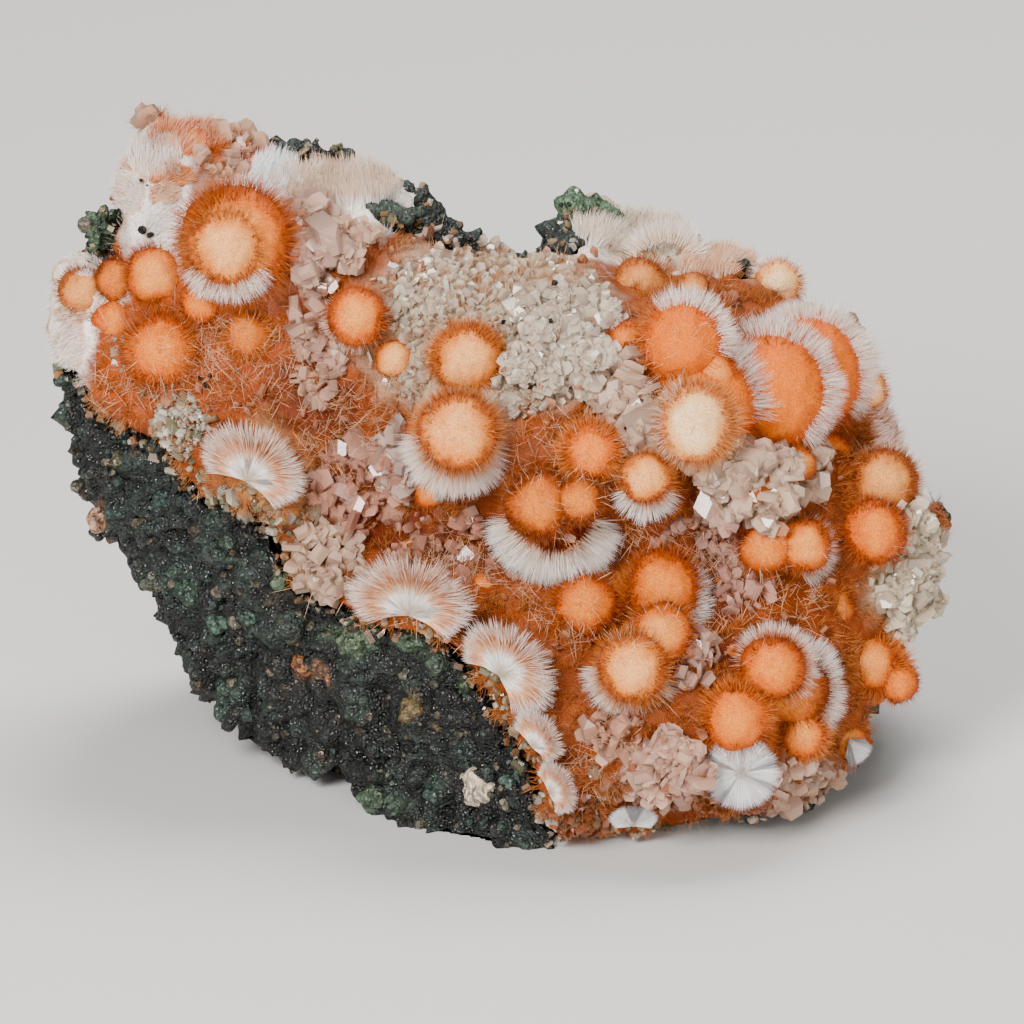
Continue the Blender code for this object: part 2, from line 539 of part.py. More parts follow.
def build():
    for old in list(bpy.data.objects):
        bpy.data.objects.remove(old)
    specimen = bpy.data.collections.new("thomsonite_on_basalt")
    cutters = bpy.data.collections.new("cutters")
    bpy.context.scene.collection.children.link(specimen)
    bpy.context.scene.collection.children.link(cutters)
    cutters.hide_render = True

    basalt = rock_block(specimen, "basalt_matrix")
    crust = rock_block(specimen, "thomsonite_crust")
    growths = helper_collection("growths", cutters)
    for number, (place, radius) in enumerate(ball_places()):
        ball(f"growth_{number:02d}", place, radius, growths)
    for number, (x, y, radius, left, down) in enumerate(FANS):
        fan(f"fan_{number}", (x, y, front_at(x, y) - FAN_SINK * radius), radius, (left, down), growths)

    outcrops = helper_collection("outcrops", cutters)
    wide_outcrops = helper_collection("outcrops_grown", cutters)
    for number, (x, y, half_width, half_height) in enumerate(OUTCROPS):
        depth = front_at(x, y)
        for group, grow in ((outcrops, 0), (wide_outcrops, GAP)):
            stretch = (half_width + grow, half_height + grow, OUTCROP_DEPTH + grow)
            place = (x, y, depth - OUTCROP_SINK * OUTCROP_DEPTH)
            ball(f"{group.name}_{number}", place, 1.0, group, stretch, OUTCROP_ROUGHNESS)
    knobs = helper_collection("knobs", cutters)
    for number, (x, y, radius) in enumerate(KNOBS):
        place = (x, y, front_at(x, y) - KNOB_SINK * radius)
        ball(f"knob_{number:02d}", place, radius, knobs, KNOB_STRETCH, KNOB_ROUGHNESS)

    floor = helper_collection("floor", cutters)
    floor_cutters(floor)
    combine(basalt, "UNION", knobs)
    combine(basalt, "DIFFERENCE", crust_space("crust_room", 1.5 * GAP, 1.5 * GAP, cutters))
    combine(basalt, "UNION", outcrops)
    combine(basalt, "DIFFERENCE", floor)
    combine(crust, "UNION", growths)
    combine(crust, "INTERSECT", crust_space("crust_limit", 0.0, 0.0, cutters))
    combine(crust, "DIFFERENCE", wide_outcrops)

    clusters = []
    for cluster in CLUSTERS:
        name = cluster[0]
        place, radius, stretch = cluster_core(cluster, 0)
        body = ball(name, place, radius, specimen, stretch)
        shapes = helper_collection(name + "_crystals", cutters)
        room = helper_collection(name + "_room", cutters)
        for grow, group in ((0, shapes), (GAP, room)):
            for number, (spot, turn, sides) in enumerate(cluster_crystals(cluster, grow)):
                crystal(f"{group.name}_{number:02d}", spot, turn, sides, group)
        place, radius, stretch = cluster_core(cluster, GAP)
        ball(name + "_core_room", place, radius, room, stretch)
        combine(body, "UNION", shapes)
        combine(body, "DIFFERENCE", floor)
        combine(crust, "DIFFERENCE", room)
        combine(basalt, "DIFFERENCE", room)
        clusters.append(body)
    combine(crust, "DIFFERENCE", floor)

    bpy.context.view_layer.update()
    for piece in [basalt, crust, *clusters]:
        settle(piece)
    basalt.data.materials.append(material("basalt", (0.02, 0.024, 0.018), 0.75))
    crust.data.materials.append(material("thomsonite", (0.86, 0.35, 0.12), 0.6))
    pale = material("pale_crystal", (0.62, 0.46, 0.4), 0.25, 0.4)
    for body in clusters:
        body.data.materials.append(pale)
    for helper in cutters.all_objects:
        helper.hide_render = True
        helper.display_type = "WIRE"


build()
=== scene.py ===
import math

import bmesh
import bpy
import numpy as np
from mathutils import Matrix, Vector
from mathutils.bvhtree import BVHTree


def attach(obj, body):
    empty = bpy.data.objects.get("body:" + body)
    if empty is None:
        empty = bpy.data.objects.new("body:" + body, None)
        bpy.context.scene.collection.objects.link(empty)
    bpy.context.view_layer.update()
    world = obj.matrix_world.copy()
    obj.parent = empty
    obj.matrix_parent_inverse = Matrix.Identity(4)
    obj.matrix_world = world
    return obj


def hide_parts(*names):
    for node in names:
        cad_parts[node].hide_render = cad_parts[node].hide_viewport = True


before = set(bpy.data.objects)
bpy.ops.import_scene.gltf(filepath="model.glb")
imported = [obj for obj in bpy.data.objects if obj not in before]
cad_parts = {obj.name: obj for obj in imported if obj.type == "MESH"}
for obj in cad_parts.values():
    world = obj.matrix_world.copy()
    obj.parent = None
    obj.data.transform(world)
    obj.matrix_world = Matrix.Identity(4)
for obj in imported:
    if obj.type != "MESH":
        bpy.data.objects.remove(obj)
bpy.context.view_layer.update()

# Viewpoint, light and floor
# Places on the specimen are in millimetres on its face, the plane square to the view: x to the right,
# y up, w towards the viewer. The face leans back by FACE_TILT, and the floor is at FLOOR_Y where w is 0.
MM = 0.001
FACE_TILT = math.radians(20)
FLOOR_Y = -44.8
CENTRE_DEPTH = 32.92
RISE, LEAN = math.cos(FACE_TILT), math.sin(FACE_TILT)
FACE_AXES = np.array([[1, 0, 0], [0, LEAN, RISE], [0, -RISE, LEAN]])  # x, y and w as world directions


def to_world(points):
    """Face millimetres to world metres: turned by FACE_TILT and set on the floor."""
    moved = np.asarray(points, float) - (0, FLOOR_Y, 0)
    return (moved @ FACE_AXES - (0, CENTRE_DEPTH, 0)) * MM


def to_face(points):
    """World metres to face millimetres: the same turn backwards."""
    moved = np.asarray(points, float) / MM + (0, CENTRE_DEPTH, 0)
    return moved @ FACE_AXES.T + (0, FLOOR_Y, 0)


VIEW_WIDTH = 1024 * 0.12  # mm of the face in view: 1024 pixels of 0.12 mm
VIEW_CENTRE = (1.2, -3.84, -8.0)
VIEW_DISTANCE = 2.5
SENSOR = 36.0
camera = bpy.data.objects.new("camera", bpy.data.cameras.new("camera"))
bpy.context.scene.collection.objects.link(camera)
camera.data.sensor_width = SENSOR
camera.data.lens = SENSOR * VIEW_DISTANCE / (VIEW_WIDTH * MM)
camera.data.clip_start, camera.data.clip_end = 0.1, 30
towards = Vector(FACE_AXES[2])
camera.location = Vector(to_world([VIEW_CENTRE])[0]) + towards * VIEW_DISTANCE
camera.rotation_euler = (-towards).to_track_quat("-Z", "Y").to_euler()
bpy.context.scene.camera = camera

LIGHT_AIM = Vector((0, 0, 0.04))
for name, place, width, power in (  # place and width in metres, power in watts
    ("key", (-0.34, -0.72, 0.55), 0.35, 13.5),
    ("fill", (0.35, -0.85, 0.16), 0.5, 5.0),
    ("top", (0.1, 0.25, 0.7), 0.4, 5.5),
):
    light = bpy.data.objects.new(name, bpy.data.lights.new(name, "AREA"))
    bpy.context.scene.collection.objects.link(light)
    light.data.size = width
    light.data.energy = power
    light.location = place
    light.rotation_euler = (LIGHT_AIM - light.location).to_track_quat("-Z", "Y").to_euler()


def linear(colour):
    """sRGB hex to linear RGBA: the two-part sRGB curve on each channel."""
    channels = np.array([int(colour[i:i + 2], 16) for i in (1, 3, 5)]) / 255
    bright = ((channels + 0.055) / 1.055) ** 2.4
    return (*np.where(channels <= 0.04045, channels / 12.92, bright).tolist(), 1.0)


def fill(material, node, inputs):
    """Gives each named input of a node a constant or a link."""
    for name, value in inputs.items():
        socket = next(one for one in node.inputs if one.name == name and one.enabled)
        if isinstance(value, bpy.types.NodeSocket):
            material.node_tree.links.new(value, socket)
        else:
            socket.default_value = value


def add_node(material, kind, inputs, output=None, **settings):
    """Adds a node with its settings, fills its inputs, and returns one output socket."""
    made = material.node_tree.nodes.new("ShaderNode" + kind)
    for name, value in settings.items():
        setattr(made, name, value)
    fill(material, made, inputs)
    return next(one for one in made.outputs if one.enabled and output in (None, one.name))


def new_material(name, **values):
    """A node material and its Principled shader, with constants set on the shader's own sockets."""
    made = bpy.data.materials.new(name)
    made.use_nodes = True
    shader = made.node_tree.nodes["Principled BSDF"]
    fill(made, shader, {socket.replace("_", " "): value for socket, value in values.items()})
    return made, shader


world = bpy.data.worlds.new("studio")
bpy.context.scene.world = world
world.use_nodes = True
world.node_tree.nodes["Background"].inputs["Color"].default_value = linear("#E9E7E3")
world.node_tree.nodes["Background"].inputs["Strength"].default_value = 0.3
FLOOR_HALF = 15.0
floor_mesh = bpy.data.meshes.new("floor")
corners = [(x * FLOOR_HALF, y * FLOOR_HALF, 0) for x, y in ((-1, -1), (1, -1), (1, 1), (-1, 1))]
floor_mesh.from_pydata(corners, [], [(0, 1, 2, 3)])
floor = bpy.data.objects.new("floor", floor_mesh)
bpy.context.scene.collection.objects.link(floor)
# Paper: dull and even, with no glint of the lamps.
paper, _ = new_material("pale_paper", Base_Color=linear("#DEDCD8"), Roughness=0.7)
floor_mesh.materials.append(paper)

# Basalt matrix
# A loose piece of dark, fine-grained lava, broken on every side and rough with grains and small pits.
# It carries the crust, and its broken lower-left face is bare.


def merged_copy(node):
    """Points and triangles of a CAD node with the doubled points of its loose triangles made one."""
    shape = bmesh.new()
    shape.from_mesh(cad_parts[node].data)
    bmesh.ops.remove_doubles(shape, verts=shape.verts, dist=1e-7)
    mesh = bpy.data.meshes.new(node + "_copy")
    shape.to_mesh(mesh)
    shape.free()
    return mesh


def read(rows, field, each=3, kind=float):
    """One field of a mesh's vertices or loops as a flat array, with so many numbers for each of them."""
    values = np.zeros(len(rows) * each, kind)
    rows.foreach_get(field, values)
    return values


def remeshed(mesh, voxel, smoothing):
    """World points, normals and quads of a mesh rebuilt from voxels and smoothed."""
    holder = bpy.data.objects.new("holder", mesh)
    bpy.context.scene.collection.objects.link(holder)
    rebuild = holder.modifiers.new("voxels", "REMESH")
    rebuild.mode = "VOXEL"
    rebuild.voxel_size = voxel * MM
    smooth = holder.modifiers.new("smooth", "SMOOTH")
    smooth.iterations = smoothing
    graph = bpy.context.evaluated_depsgraph_get()
    made = bpy.data.meshes.new_from_object(holder.evaluated_get(graph))
    bpy.data.objects.remove(holder)
    points, normals = (read(made.vertices, field).reshape(-1, 3) for field in ("co", "normal"))
    return points, normals, read(made.loops, "vertex_index", 1, int).reshape(-1, 4)


SCRAMBLE = (127.1, 311.7, 74.7)  # no two corners of the lattice nearby get the same key


def lumps(points, size, seed=0.0):
    """Smooth noise from -1 to 1: random values on a lattice of this size, blended between its corners."""
    place = np.asarray(points, float) / size + seed
    cell = np.floor(place)
    part = place - cell
    part = part * part * (3 - 2 * part)
    total = np.zeros(len(place))
    for corner in range(8):
        step = np.array([corner & 1, corner >> 1 & 1, corner >> 2 & 1])
        key = ((cell + step) @ SCRAMBLE) * 0.1731
        value = np.modf(np.sin(key) * 43758.5453)[0]
        weight = np.prod(np.where(step, part, 1 - part), axis=1)
        total += weight * (value - np.floor(value))
    return total * 2 - 1


def mesh_piece(name, points, faces, tints, smooth=True):
    """A piece from world points, faces with the same number of corners each, and a tint for each point."""
    mesh = bpy.data.meshes.new(name)
    faces = np.asarray(faces, np.int32)
    mesh.vertices.add(len(points))
    mesh.vertices.foreach_set("co", np.asarray(points, np.float32).ravel())
    mesh.loops.add(faces.size)
    mesh.loops.foreach_set("vertex_index", faces.ravel())
    mesh.polygons.add(len(faces))
    mesh.polygons.foreach_set("loop_start", np.arange(0, faces.size, faces.shape[1], dtype=np.int32))
    mesh.update(calc_edges=True)
    mesh.polygons.foreach_set("use_smooth", np.full(len(faces), smooth))
    attribute = mesh.attributes.new("tint", "FLOAT_COLOR", "POINT")
    attribute.data.foreach_set("color", np.asarray(tints, np.float32).ravel())
    made = bpy.data.objects.new(name, mesh)
    bpy.context.scene.collection.objects.link(made)
    return made


BASALT_VOXEL = 0.585
BASALT_RELIEF = ((6.0, 1.1), (2.8, 1.2), (1.4, 0.8), (0.85, 0.3))  # lump size and height, mm
RELIEF_SHARE, RELIEF_SINK = 0.7, 0.3  # the knobs stand on the surface and the cracks between them go in
RESTING = 0.4  # mm, height up to which a point of the basalt lies on the floor
basalt_points, basalt_normals, basalt_quads = remeshed(merged_copy("basalt_matrix"), BASALT_VOXEL, 2)
relief = sum(height * (2.6 * np.abs(lumps(basalt_points / MM, size)) - 1)
             for size, height in BASALT_RELIEF)
relief = relief * RELIEF_SHARE - RELIEF_SINK
deep, raised = np.percentile(relief, (8, 92))
knob_share = np.clip((relief - deep) / (raised - deep), 0, 1)[:, None]
resting = basalt_points[:, 2] < RESTING * MM
basalt_points = basalt_points + basalt_normals * (relief * MM)[:, None]
basalt_points[resting, 2] = 0
basalt_points[:, 2] = np.maximum(basalt_points[:, 2], 0)
LAVA = "#0D0D0A"
CELADONITE = "#26352C"  # the green clay that skins some of the knobs
CLAY_SHARE = 0.45  # of it in the colour of a knob
ROCK_ZONES = (  # x, y, half width, half height, colour: green celadonite, rusty and pale patches
    (-48.2, 30.2, 4, 5, "#3A4A34"), (-12.6, 31.6, 5, 2.6, "#222C22"), (10.2, 33.6, 5, 2, "#3E5038"),
    (28.6, 25, 2.8, 2.4, "#252C22"), (-37, -10, 6, 5, "#161E19"), (-42, -1, 5, 4, "#151C18"),
    (-18.2, -19.2, 2.8, 2.2, "#3E4C38"), (-10.8, -20, 2.8, 2, "#36432F"),
    (-24.2, -22.2, 1.8, 1.4, "#5A3A22"), (-11, -27.6, 2.2, 1.2, "#4C4028"),
    (-15.2, -38.4, 3, 1.8, "#2A3628"), (-33, -26, 2, 2.8, "#242F26"), (-27, -16, 2.4, 1.6, "#3A3226"),
    (-4, -33, 2.4, 2, "#1C2A22"), (-48.8, -4.8, 1.4, 2.4, "#6A4A34"),
)
ZONE_END, ZONE_FADE = 1.15, 0.4  # of a zone's half width: where it ends, and how wide its soft edge is


def zone_tint(points, ground, zones, waviness):
    """Colour at face points: each zone fades out over its edge, which smooth noise makes wavy."""
    wavy = points[:, :2] + waviness * np.stack([lumps(points, 3.6, 4.0), lumps(points, 3.6, 9.0)], axis=1)
    wavy += 0.4 * waviness * np.stack([lumps(points, 1.1, 5.0), lumps(points, 1.1, 8.0)], axis=1)
    tint = np.tile(linear(ground), (len(points), 1))
    for x, y, width, height, colour in zones:
        away = np.hypot((wavy[:, 0] - x) / width, (wavy[:, 1] - y) / height)
        share = np.clip((ZONE_END - away) / ZONE_FADE, 0, 1)[:, None]
        tint = tint * (1 - share) + share * linear(colour)
    tint[:, :3] *= (1 + 0.3 * lumps(points, 1.3, 2.0) + 0.2 * lumps(points, 0.5, 6.0))[:, None]
    return np.clip(tint, 0, 1)


rock_tints = zone_tint(to_face(basalt_points), LAVA, ROCK_ZONES, 2.6)
plain_tints = zone_tint(to_face(basalt_points), LAVA, (), 0.0)
in_view = np.clip(1 + 3 * basalt_normals @ FACE_AXES[2], 0, 1)[:, None]  # the patches lie on the side in view
rock_tints = rock_tints * in_view + plain_tints * (1 - in_view)
mossy = CLAY_SHARE * knob_share * np.clip(0.3 + 2 * lumps(basalt_points / MM, 4.4, 11.0), 0, 1)[:, None]
rock_tints = rock_tints * (1 - mossy) + mossy * np.array(linear(CELADONITE))
rock_tints[:, :3] *= 0.4 + 1.2 * knob_share  # painted shade and painted light: the colour is darkened in the cracks and lightened on the knobs, by how far the relief goes in or stands out
basalt = mesh_piece("basalt_rock", basalt_points, basalt_quads, rock_tints)

GRAIN = 0.45  # mm, size of a glinting grain
# Broken basalt: every grain has its own shade and its own polish, so that a few of them glint.
rock, rock_shader = new_material("broken_basalt", Specular_IOR_Level=0.5)
place = add_node(rock, "TexCoord", {}, "Object")
grain_colour, grain_depth = (
    add_node(rock, "TexVoronoi", {"Vector": place, "Scale": 1 / (GRAIN * MM)}, result)
    for result in ("Color", "Distance"))
grain_shade = add_node(rock, "SeparateColor", {"Color": grain_colour}, "Red")
grain_polish = add_node(rock, "SeparateColor", {"Color": grain_colour}, "Green")
own = add_node(rock, "Attribute", {}, "Color", attribute_name="tint")
lighter = add_node(rock, "MapRange", {"Value": grain_shade, "To Min": 0.25, "To Max": 1.9})
polish = add_node(rock, "MapRange", {"Value": grain_polish, "To Min": 0.2, "To Max": 0.85})
shade = add_node(rock, "VectorMath", {"Vector": own, "Scale": lighter}, operation="SCALE")
grit = add_node(rock, "Bump", {"Height": grain_depth, "Strength": 1.0, "Distance": 0.3 * MM})
fill(rock, rock_shader, {"Roughness": polish, "Base Color": shade, "Normal": grit})
basalt.data.materials.append(rock)
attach(basalt, "root")
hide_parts("basalt_matrix")

# Thomsonite crust
# The ground of the crust: thomsonite grown as a skin of packed fibres over the lava, white where it is
# massive, red-brown in the recesses, orange elsewhere. The balls and crystals grow out of it.
MOUNDS = (  # x, y, radius to the needle tips, depth of the centre, radius of the solid ball inside
    (-31.9, 28.2, 7.2, 10.2, 6.4), (-17.4, 19.4, 4.6, 6.6, 3.4), (-5.2, 5.2, 7.4, 10.4, 4.8),
    (6.4, -4, 8.4, 10.7, 4.6), (17.2, -0.4, 4.2, 6.7, 3), (24, 9, 9.8, 12.5, 6.6),
    (32, 10.8, 9.2, 9.2, 6.6), (36.6, 12.8, 8.8, 8.8, 6.4), (34.4, -8.4, 6.2, 7.9, 3.6),
    (45.2, -3, 7, 9, 3.8), (10, -15, 5.4, 7.1, 3.8), (17.8, -16.2, 8.4, 11.4, 5.2),
    (15.6, -22.9, 6, 8.5, 4), (32.4, -22.4, 5.6, 8, 3.8), (34.2, -25.2, 7.3, 8.6, 5.2),
    (45.4, -22.6, 4.8, 4.8, 3.2),
)
ZONES = (  # x, y, half width, half height, colour: kinds of ground, later ones over earlier ones
    (-41, 17, 15, 10, "#9E4406"), (-41.6, 33.8, 5.2, 8.4, "#F2EAE0"), (-50.6, 24, 4.6, 3.6, "#F0E2D0"),
    (-52, 17, 3.4, 5.4, "#F0E8DE"), (-17.3, 35, 17, 5.8, "#F2E6D8"), (19.8, 29.4, 12, 3.6, "#F2E6D8"),
    (49.3, 1.2, 3.4, 4.4, "#F2E6DA"), (-24.1, 27.9, 5.6, 7, "#B0664A"), (-32.5, 39.4, 4.4, 3.4, "#D0703A"),
    (-1.4, 18, 16, 11, "#B09A80"), (-24.2, 9.6, 6, 5, "#6A2804"), (-14, -2.4, 7, 6, "#602204"),
    (-3.8, -7.8, 7, 5, "#642404"), (14.2, -9.6, 9, 5, "#762E06"), (28.6, -6, 7, 6, "#783006"),
    (-10.1, 2.4, 4.6, 4.4, "#8E5644"), (32.2, 3.2, 7, 5, "#A88468"), (48.7, -11, 5, 7.6, "#B09A80"),
    (24, -17, 5, 8, "#662604"), (19.6, -34.8, 5, 4.4, "#8E5A46"), (36.1, -36.3, 6, 4, "#96664E"),
    (-28, 1, 7, 7, "#A2663A"), (40, -16, 5, 5, "#863A06"), (-9, -14, 7, 4, "#A24C12"),
)
GROUND = "#863A06"
CREST_BACK = -26  # w, the crust is a dull tan farther back than this
SKIN_VOXEL, SKIN_SINK = 0.55, 0.3
SKIRT, SKIRT_FADE = 1.3, 0.28  # of a mound's reach: from where the skin is drawn in, and over what width
BURIED = 0.86  # of the solid ball's radius, how far in the skin is drawn
SKIN_RELIEF = ((3.4, 0.35), (1.5, 0.25), (0.7, 0.12))  # lump size and height, mm


def colours(codes):
    """Rows of linear RGBA from hex codes."""
    return np.array([linear(code) for code in codes])


def ramp(share):
    """Smooth step of a share from 0 to 1: 3 s squared less 2 s cubed, level at both ends."""
    share = np.clip(share, 0, 1)
    return share * share * (3 - 2 * share)


def ground_tint(points):
    """Colour of the crust at face points: its zones, and a pale dull tan behind the crest."""
    tint = zone_tint(points, GROUND, ZONES, 2.2)
    behind = ramp((CREST_BACK - points[:, 2]) / 8)[:, None]
    return tint * (1 - behind) + behind * linear("#C8B498")


def surface_tree(*nodes):
    """A tree of CAD nodes in world metres, for rays and nearest points."""
    points, faces = [], []
    for node in nodes:
        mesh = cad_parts[node].data
        faces += [tuple(len(points) + i for i in face.vertices) for face in mesh.polygons]
        points += [vertex.co.copy() for vertex in mesh.vertices]
    return BVHTree.FromPolygons(points, faces)


crust_tree = surface_tree("thomsonite_crust")
front_tree = surface_tree(*(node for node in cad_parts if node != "basalt_matrix"))
rock_tree = surface_tree("basalt_matrix")
whole_tree = surface_tree(*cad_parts)
START = 60.0  # mm in front of the face, where the rays start


def cast(tree, x, y):
    """World point and normal where a ray along the view meets the surface, or None twice."""
    return tree.ray_cast(Vector(to_world([(x, y, START)])[0]), Vector(-FACE_AXES[2]))[:2]


def surface_depth(tree, x, y):
    """Face w where a ray along the view meets the surface."""
    return float(to_face([cast(tree, x, y)[0]])[0, 2])


mound_balls = [(x, y, surface_depth(crust_tree, x, y) - deep, reach, core)
               for x, y, reach, deep, core in MOUNDS]
skin_points, skin_normals, skin_quads = remeshed(merged_copy("thomsonite_crust"), SKIN_VOXEL, 4)
skin_face = to_face(skin_points)
for x, y, depth, reach, core in mound_balls:
    apart = skin_face - (x, y, depth)
    distance = np.linalg.norm(apart, axis=1)
    drawn_in = ramp((SKIRT - distance / reach) / SKIRT_FADE) * (1 - core * BURIED / reach)
    drawn_in *= ramp((apart[:, 2] / reach + 0.35) / 0.4)  # only on the side in view
    skin_face = skin_face - apart * drawn_in[:, None]
skin_axes = skin_normals @ FACE_AXES.T
rise = sum(height * lumps(skin_face, size, 1.5) for size, height in SKIN_RELIEF) - SKIN_SINK
skin_face = skin_face + skin_axes * rise[:, None]
crust = mesh_piece("crust_ground", to_world(skin_face), skin_quads, ground_tint(skin_face))

FIBRE_END = 0.22  # mm, ends of packed fibres, drawn a little coarser than real so that they show
MOTTLE = 0.26  # how much lighter or darker a fibre end is
# Packed fibres: silky, with a little light that sinks in between the fibre ends.
packed_fibres, fibre_shader = new_material(
    "packed_thomsonite_fibres", Roughness=0.6, Specular_IOR_Level=0.2, IOR=1.52,
    Subsurface_Weight=0.15, Subsurface_Scale=0.8 * MM)
place = add_node(packed_fibres, "TexCoord", {}, "Object")
own = add_node(packed_fibres, "Attribute", {}, "Color", attribute_name="tint")
ends = add_node(packed_fibres, "TexNoise", {
    "Vector": place, "Scale": 1 / (FIBRE_END * MM), "Detail": 2.0}, "Fac")
lighter = add_node(packed_fibres, "MapRange", {
    "Value": ends, "From Min": 0.3, "From Max": 0.7, "To Min": 1 - MOTTLE, "To Max": 1 + MOTTLE})
shade = add_node(packed_fibres, "VectorMath", {"Vector": own, "Scale": lighter}, operation="SCALE")
bumps = add_node(packed_fibres, "Bump", {
    "Height": ends, "Strength": 0.6, "Distance": FIBRE_END * MM})
fill(packed_fibres, fibre_shader, {"Base Color": shade, "Normal": bumps})
crust.data.materials.append(packed_fibres)
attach(crust, "root")
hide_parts("thomsonite_crust")

# Thomsonite balls
# Round balls of needles packed side by side, pale at the front and orange towards the rim: partly their own
# colour, partly painted light on the front and painted shade at the rim.
# Each is velvety: the ends of its needles stand a little out of it.
TINTS = {  # colours from the front of a ball to its foot: partly the ball's own pale cap and orange side, partly painted light on the front and painted shade towards the rim
    "cream": ("#F2AA66", "#E48632", "#BC5010", "#6E2606"),
    "peach": ("#EC9440", "#DC6C14", "#B44A06", "#6A2404"),
    "orange": ("#E8801E", "#D46206", "#AC4202", "#622004"),
    "bright": ("#E06E02", "#DA6602", "#C24E01", "#862E02"),
    "brown": ("#D8761E", "#B4540C", "#803204", "#4E1A02"),
    "tan": ("#DE964E", "#C8722C", "#A04810", "#6A2A08"),
    "pale": ("#FAD29C", "#F2AC62", "#DA6E24", "#863806"),
    "white": ("#F6EEE4", "#F2E4D4", "#E0B88E", "#A87248"),
}
BALLS = (  # x, y, radius, tint, how far its front stands out of the CAD surface there
    (-31.9, 28.6, 6.5, "peach", 0), (-32.9, 27.8, 4.6, "cream", 0.9), (-41.6, 24.6, 3.6, "peach", -0.1),
    (-46.4, 24, 2.6, "brown", 0), (-50.4, 22.6, 3, "tan", 0), (-36.2, 21.2, 2.5, "orange", -0.2),
    (-41, 15.6, 4.4, "orange", -0.3), (-30.6, 17.4, 3.2, "brown", -0.2), (-17.4, 19.6, 3.4, "peach", 0),
    (-12.8, 14.4, 2.4, "cream", 0.1), (-4.2, 14.4, 4.2, "cream", 0), (-5.2, 5.8, 4.6, "cream", 0),
    (10.6, 3.4, 3.3, "orange", 0.1), (4.4, -3, 4, "brown", 0), (9.2, -2.4, 2.8, "brown", 0.1),
    (17.2, 0.2, 3, "cream", 0.2), (23, 6.7, 4.7, "pale", 0), (24, 9, 6.6, "bright", -3.2),
    (21.7, 16.4, 5.2, "bright", 0), (25.4, 12.8, 2.6, "peach", 0.1), (32, 10.8, 7.3, "bright", -1.4),
    (36.6, 12.8, 7.1, "bright", -1.2), (35.4, 1.9, 2.1, "cream", 0.1), (29.5, -3.4, 1.8, "orange", 0.1),
    (31.6, -7.8, 3.3, "orange", 0.1), (36.2, -7.8, 3.2, "peach", 0.1), (46, -0.2, 4, "tan", 0),
    (44.6, -6.2, 3.8, "orange", 0), (10, -15, 3.7, "orange", 0), (19.3, -12.8, 4.4, "orange", 0),
    (19, -18.2, 3.6, "peach", 0.2), (15.6, -22.4, 4.1, "cream", 0), (32.4, -22.4, 3.8, "orange", 0),
    (34.2, -25.2, 5.2, "brown", -2), (36.1, -30.5, 2.8, "peach", 0.1), (28, -28.4, 4.1, "orange", 0),
    (44.4, -22, 3.2, "peach", 0), (47.6, -24.2, 2.5, "orange", 0.1), (16.6, 23.4, 3.4, "tan", 0),
    (22.9, 22.7, 2.3, "tan", 0.1), (33.4, 23.8, 2.9, "pale", 0), (-24, 35.4, 2.6, "white", 0.1),
    (44.2, 10.8, 2.2, "pale", 0.2), (41.5, -31.4, 2.4, "peach", 0.2), (24.6, -1.8, 2.2, "brown", 0.2),
    (-42.8, 35.6, 2.6, "white", -0.7), (-39.6, 32, 3, "white", -0.8), (-43.8, 28.6, 2.8, "white", -0.9),
    (-52.4, 24.6, 1.8, "white", -0.3), (-52.4, 18.4, 2.4, "white", -0.6), (-38, 39, 3.8, "peach", -1),
    (-46.6, 19, 2.8, "orange", 0.5), (-36, 11.8, 3.2, "orange", -1), (-29.4, 12, 3, "brown", -1),
    (-22.4, 12.4, 2.4, "orange", -1), (-24, 6, 2.6, "brown", -1), (-17, 6.8, 2.4, "brown", -1),
    (5.4, -13.2, 2.8, "orange", -1), (26.8, -21, 2.6, "brown", -1), (15, 16.4, 2.6, "orange", -1),
    (39.6, -15.2, 3, "brown", -1), (8.6, -27, 2.6, "orange", -1), (14.6, -31.4, 2.4, "brown", -1),
    (39.4, 3.6, 2.4, "orange", -1), (-11.4, -9, 2.6, "brown", -1), (-2.2, -13.6, 2.8, "orange", -1),
    (-8.6, -1.6, 2, "peach", 0.2), (27.2, -12.6, 2.2, "orange", -1),
)
BALL_GRAIN = 0.34  # mm between the points of a ball's surface


def globe(radius, grain):
    """Unit sphere of rings and meridians: z is the cosine of the polar angle, with a point at each pole."""
    rings = max(4, int(math.pi * radius / grain))
    around = 2 * rings
    polar, turn = np.meshgrid(np.linspace(0, math.pi, rings + 1)[1:-1],
                              np.arange(around) * math.tau / around, indexing="ij")
    body = np.stack([np.sin(polar) * np.cos(turn), np.sin(polar) * np.sin(turn), np.cos(polar)], axis=-1)
    points = np.vstack([[(0, 0, 1)], body.reshape(-1, 3), [(0, 0, -1)]])
    row, column = np.meshgrid(np.arange(rings - 2), np.arange(around), indexing="ij")
    here, beside = 1 + row * around + column, 1 + row * around + (column + 1) % around
    quads = np.stack([here, here + around, beside, beside, here + around, beside + around], axis=-1)
    step = np.arange(around)
    last = 1 + (rings - 2) * around
    caps = [np.stack([step * 0, 1 + step, 1 + (step + 1) % around], axis=-1),
            np.stack([last + step, step * 0 + len(points) - 1, last + (step + 1) % around], axis=-1)]
    return points, np.vstack([quads.reshape(-1, 3), *caps])


def ball_tint(kind, height, points):
    """Colour by height on the ball towards the viewer: blends along the four colours of its kind, blotched by
    smooth noise. Partly the ball's own colour, partly painted light at the front and painted shade at the
    rim.
    """
    stops = colours(TINTS[kind])
    uneven = 0.35 * lumps(points, 1.6, 3.0) + 0.25 * lumps(points, 0.7, 6.0)
    # height runs towards the viewer, so the front is paler and the rim and foot darker: partly the ball's own
    # colour, partly painted light and painted shade
    along = np.clip((1 - height) * 3.1 - 0.05 + uneven, 0, 2.999)
    low = along.astype(int)
    part = (along - low)[:, None]
    return stops[low] * (1 - part) + stops[low + 1] * part


